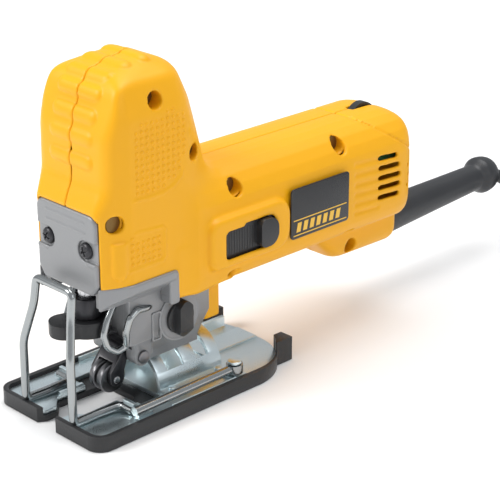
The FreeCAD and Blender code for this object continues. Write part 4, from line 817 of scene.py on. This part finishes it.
# Front plate with a notch for each screw and two raised lines in place of lettering.
PLATE_BACK, PLATE_FACE = -48.5, -51.5
SCREW_X, SCREW_Z, NOTCH_R, NOTCH_FLOOR = 13.4, 87.5, 5.0, -50.0
LINES_Z, LINES_APART = 98.5, 2.3
plate = Carving((-22.5, -53.2, 65.2), (22.5, -47.5, 106.2), 0.3)
px, py, pz = plate.x, plate.y, plate.z
plate.field = keep_soft(flat_distance(mirrored([(17.0, 66.5, 2), (21, 71.5, 4), (21, 105, 4.5)]), px, pz),
                        np.maximum(PLATE_FACE - py, py - PLATE_BACK), 1.6)
for side in (-1, 1):
    notch = np.minimum(off_axis(px, pz, (side * SCREW_X, SCREW_Z)) - NOTCH_R,
                       np.maximum(np.abs(pz - SCREW_Z) - NOTCH_R, SCREW_X - side * px)) + 0 * py
    plate.field = keep_soft(plate.field, -np.maximum(notch, py - NOTCH_FLOOR), 0.7)
    ledge = bar(px, py, pz, (side * 14.5, -50.9, 81.7), (side * 19.6, -50.9, 81.7), 0.9)
    plate.field = join_soft(plate.field, ledge, 0.8)
    line_z = LINES_Z + side * LINES_APART
    line = bar(px, py, pz, (-13.5, -51.2, line_z), (13.5, -51.2, line_z), 0.6)
    plate.field = join_soft(plate.field, line, 0.5)
stands_for(plate.skin("front_plate_casting", plate.field, grey_paint), "front_plate")

# Cross-recessed pan-head screws.
HEAD_R, HEAD_FOOT, DOME_Y, DOME_R = 3.95, -49.6, -46.3, 6.4
CROSS_HALF, CROSS_REACH, CROSS_FLOOR, CROSS_TURN = 0.55, 2.5, -51.2, 25
for side, name in ((1, "left"), (-1, "right")):
    head = Carving((side * SCREW_X - 4.6, -53.4, 82.9), (side * SCREW_X + 4.6, -49.2, 92.1), 0.16)
    hx, hy, hz = head.x - side * SCREW_X, head.y, head.z - SCREW_Z
    spin = math.radians(CROSS_TURN * side)
    ha, hb = hx * math.cos(spin) + hz * math.sin(spin), hz * math.cos(spin) - hx * math.sin(spin)
    dome = keep_soft(np.sqrt(hx ** 2 + (hy - DOME_Y) ** 2 + hz ** 2) - DOME_R,
                     np.maximum(np.sqrt(hx ** 2 + hz ** 2) - HEAD_R + 0 * hy, hy - HEAD_FOOT), 0.8)
    depth = hy - CROSS_FLOOR
    cross = np.minimum(np.maximum(np.abs(ha) - CROSS_HALF, np.abs(hb) - CROSS_REACH),
                       np.maximum(np.abs(hb) - CROSS_HALF, np.abs(ha) - CROSS_REACH))
    head_field = keep_soft(dome, -np.maximum(cross + 0.25 * (depth + 1.4), depth), 0.25)
    stands_for(head.skin("plate_screw_" + name, head_field, black_steel), "plate_screws")


# ======== Blade clamp, orbit fork and selector ========
# The clamp is blackened steel turned by a moulded lever on the plunger. The fork is
# forged, blackened and carries a hardened roller on a pressed-in pin; the selector
# is a moulded knob on a steel shaft through the case.
for node, material, width in (
        ("pendulum_fork", black_steel, 0.4), ("guide_roller", gunmetal, 0.5), ("roller_pin", steel, 0.4),
        ("fork_pin", gunmetal, 0.4), ("blade_clamp", black_steel, 0.6), ("clamp_lever", black_nylon, 1.1),
        ("selector_knob", black_nylon, 0.9)):
    softened(node, material, width)
paint("selector_shaft", steel)


# ======== Shoe, its lever and the wire guards ========
# A plate and a half-round saddle of pressed, zinc plated steel, riveted together and
# slipped into a nylon overshoe. Locking lever, guard and finger loops are spring wire,
# bent cold and clipped or pushed into the castings.
zinc = finish("zinc plated steel", (0.72, 0.82, 0.85), 0.32, metal=1.0, mottle=0.12, patch=30, bump=0.03,
              grain=2200, spread=0.1)
chrome = finish("bright wire", (0.36, 0.38, 0.385), 0.2, metal=1.0, mottle=0.05, bump=0.02, spread=0.05)
softened("overshoe", black_nylon, 0.7)
for node, width in (("shoe_plate", 0.35), ("saddle", 0.3), ("lever_bracket", 0.25), ("guard_clips", 0.25),
                    ("saddle_rivets", 0.4)):
    softened(node, zinc, width)
pressed_block("shoe_band", [((-8, 28, 5.0), (6.2, 63.0, 6.4))], 0.4, zinc, "shoe")
pressed_block("shoe_edges", [((34.4, -20, 5.0), (35.3, 21, 7.9)), ((-35.3, -20, 5.0), (-34.4, 21, 7.9))],
              0.3, zinc, "shoe")
paint("shoe_lever", chrome)
paint("clamp_bar", gunmetal)
paint("clamp_bolts", black_steel)


def bent_wire(name, runs, setback, radius):
    """Bright wire through (x, y, z) corners, bent close to each corner."""
    bent = []
    for corners in runs:
        corners = [Vector(corner) for corner in corners]
        route = [corners[0]]
        for before, here, after in zip(corners, corners[1:], corners[2:]):
            start, end = (here + (other - here) * min(setback / (other - here).length, 0.49)
                          for other in (before, after))
            route += [start, here, end]
        bent.append(route + [corners[-1]])
    return round_wire(name, bent, radius, chrome, 6, 8)


def other_side(corners):
    """The same corners on the right side of the tool."""
    return [(-x, y, z) for x, y, z in corners]


GUARD_LEG = [(27.5, -38, 7.9), (18.5, -38, 7.9), (17.4, -52, 7.9), (17.6, -65.3, 8.0), (17.3, -65.3, 38),
             (13.4, -61, 57), (13.0, -59.2, 69.5)]
LOOP = [(13.6, -32, 68), (13.6, -34, 60), (13.6, -40.1, 50.6), (13.6, -42.8, 43.5), (14, -41, 37.0),
        (15.5, -36.4, 33.8), (18, -32.6, 36.5), (20, -34.4, 44.9), (21.5, -33.2, 51.5), (21.8, -29.3, 54.6),
        (20.5, -22, 53.2), (18, -17, 52.6)]
stands_for(bent_wire("guard_wire", [GUARD_LEG + other_side(GUARD_LEG[::-1])], 7.0, 2.0), "wire_guard")
stands_for(bent_wire("finger_loops", [LOOP, other_side(LOOP)], 6.0, 1.7), "finger_guard")


# ======== Switch, speed wheel and badges ========
# The slider and the wheel are moulded in black nylon and work a switch and a small
# circuit board inside. Each side has a film badge with plain printed stripes.
board_green = finish("circuit board", (0.03, 0.14, 0.06), 0.4, mottle=0.3, bump=0.3)
badge_black = finish("badge film", (0.015, 0.0155, 0.0175), 0.3, mottle=0.1, bump=0.04)
badge_ink = finish("badge ink", (0.85, 0.5, 0.05), 0.35, mottle=0.08, bump=0.05)
softened("switch_slider", black_nylon, 0.8)
softened("side_badges", badge_black, 0.3)
paint("switch_body", black_nylon)
paint("speed_dial", black_nylon)
paint("electronics_module", board_green)


def plates_on_side(name, shapes, face, thick, side, material, body):
    """Thin flat shapes, each a list of (y, z) corners, standing on a side face."""
    work = bmesh.new()
    for shape in shapes:
        outer = [work.verts.new(Vector((side * (face + thick), y, z)) * MM) for y, z in shape]
        inner = [work.verts.new(Vector((side * (face - 0.2), y, z)) * MM) for y, z in shape]
        work.faces.new(outer)
        for i in range(len(shape)):
            j = (i + 1) % len(shape)
            work.faces.new((outer[i], inner[i], inner[j], outer[j]))
    bmesh.ops.recalc_face_normals(work, faces=work.faces)
    piece = object_from(name, work, material)
    round_edges(piece, min(0.3, thick * 0.6), 2, harden=False)
    return rides(piece, body)


def rectangle(low_y, low_z, high_y, high_z):
    """Corners of an upright rectangle."""
    return [(low_y, low_z), (high_y, low_z), (high_y, high_z), (low_y, high_z)]


BADGE_FACE, INK = 32.0, 0.12
STRIPE_PITCH, STRIPES = 4.6, 7
stripes = [rectangle(62.6, z, 100.2, z + 0.55) for z in (67.6, 75.4)]
for step in range(STRIPES):
    y = STRIPE_PITCH * step
    stripes.append([(64.5 + y, 69.4), (67.3 + y, 69.4), (68.3 + y, 74.2), (65.5 + y, 74.2)])
for side, name in ((1, "left"), (-1, "right")):
    plates_on_side("badge_stripes_" + name, stripes, BADGE_FACE, INK, side, badge_ink, "tool")
# Thumb ribs across the slider, in front of its raised grip.
THUMB_RIBS, THUMB_RIB_START, THUMB_RIB_PITCH, THUMB_RIB_WIDTH, THUMB_RIB_HEIGHT = 11, 18.5, 1.7, 0.7, 0.22
GRIP_OVER_FLANGE = 4.0
rib_starts = [THUMB_RIB_START + THUMB_RIB_PITCH * step for step in range(THUMB_RIBS)]
slider_ribs = [rectangle(y, 70.2, y + THUMB_RIB_WIDTH, 81.6) for y in rib_starts]
plates_on_side("slider_ribs", slider_ribs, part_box("switch_slider")[1][0] / MM - GRIP_OVER_FLANGE,
               THUMB_RIB_HEIGHT, 1, black_nylon, "slider")
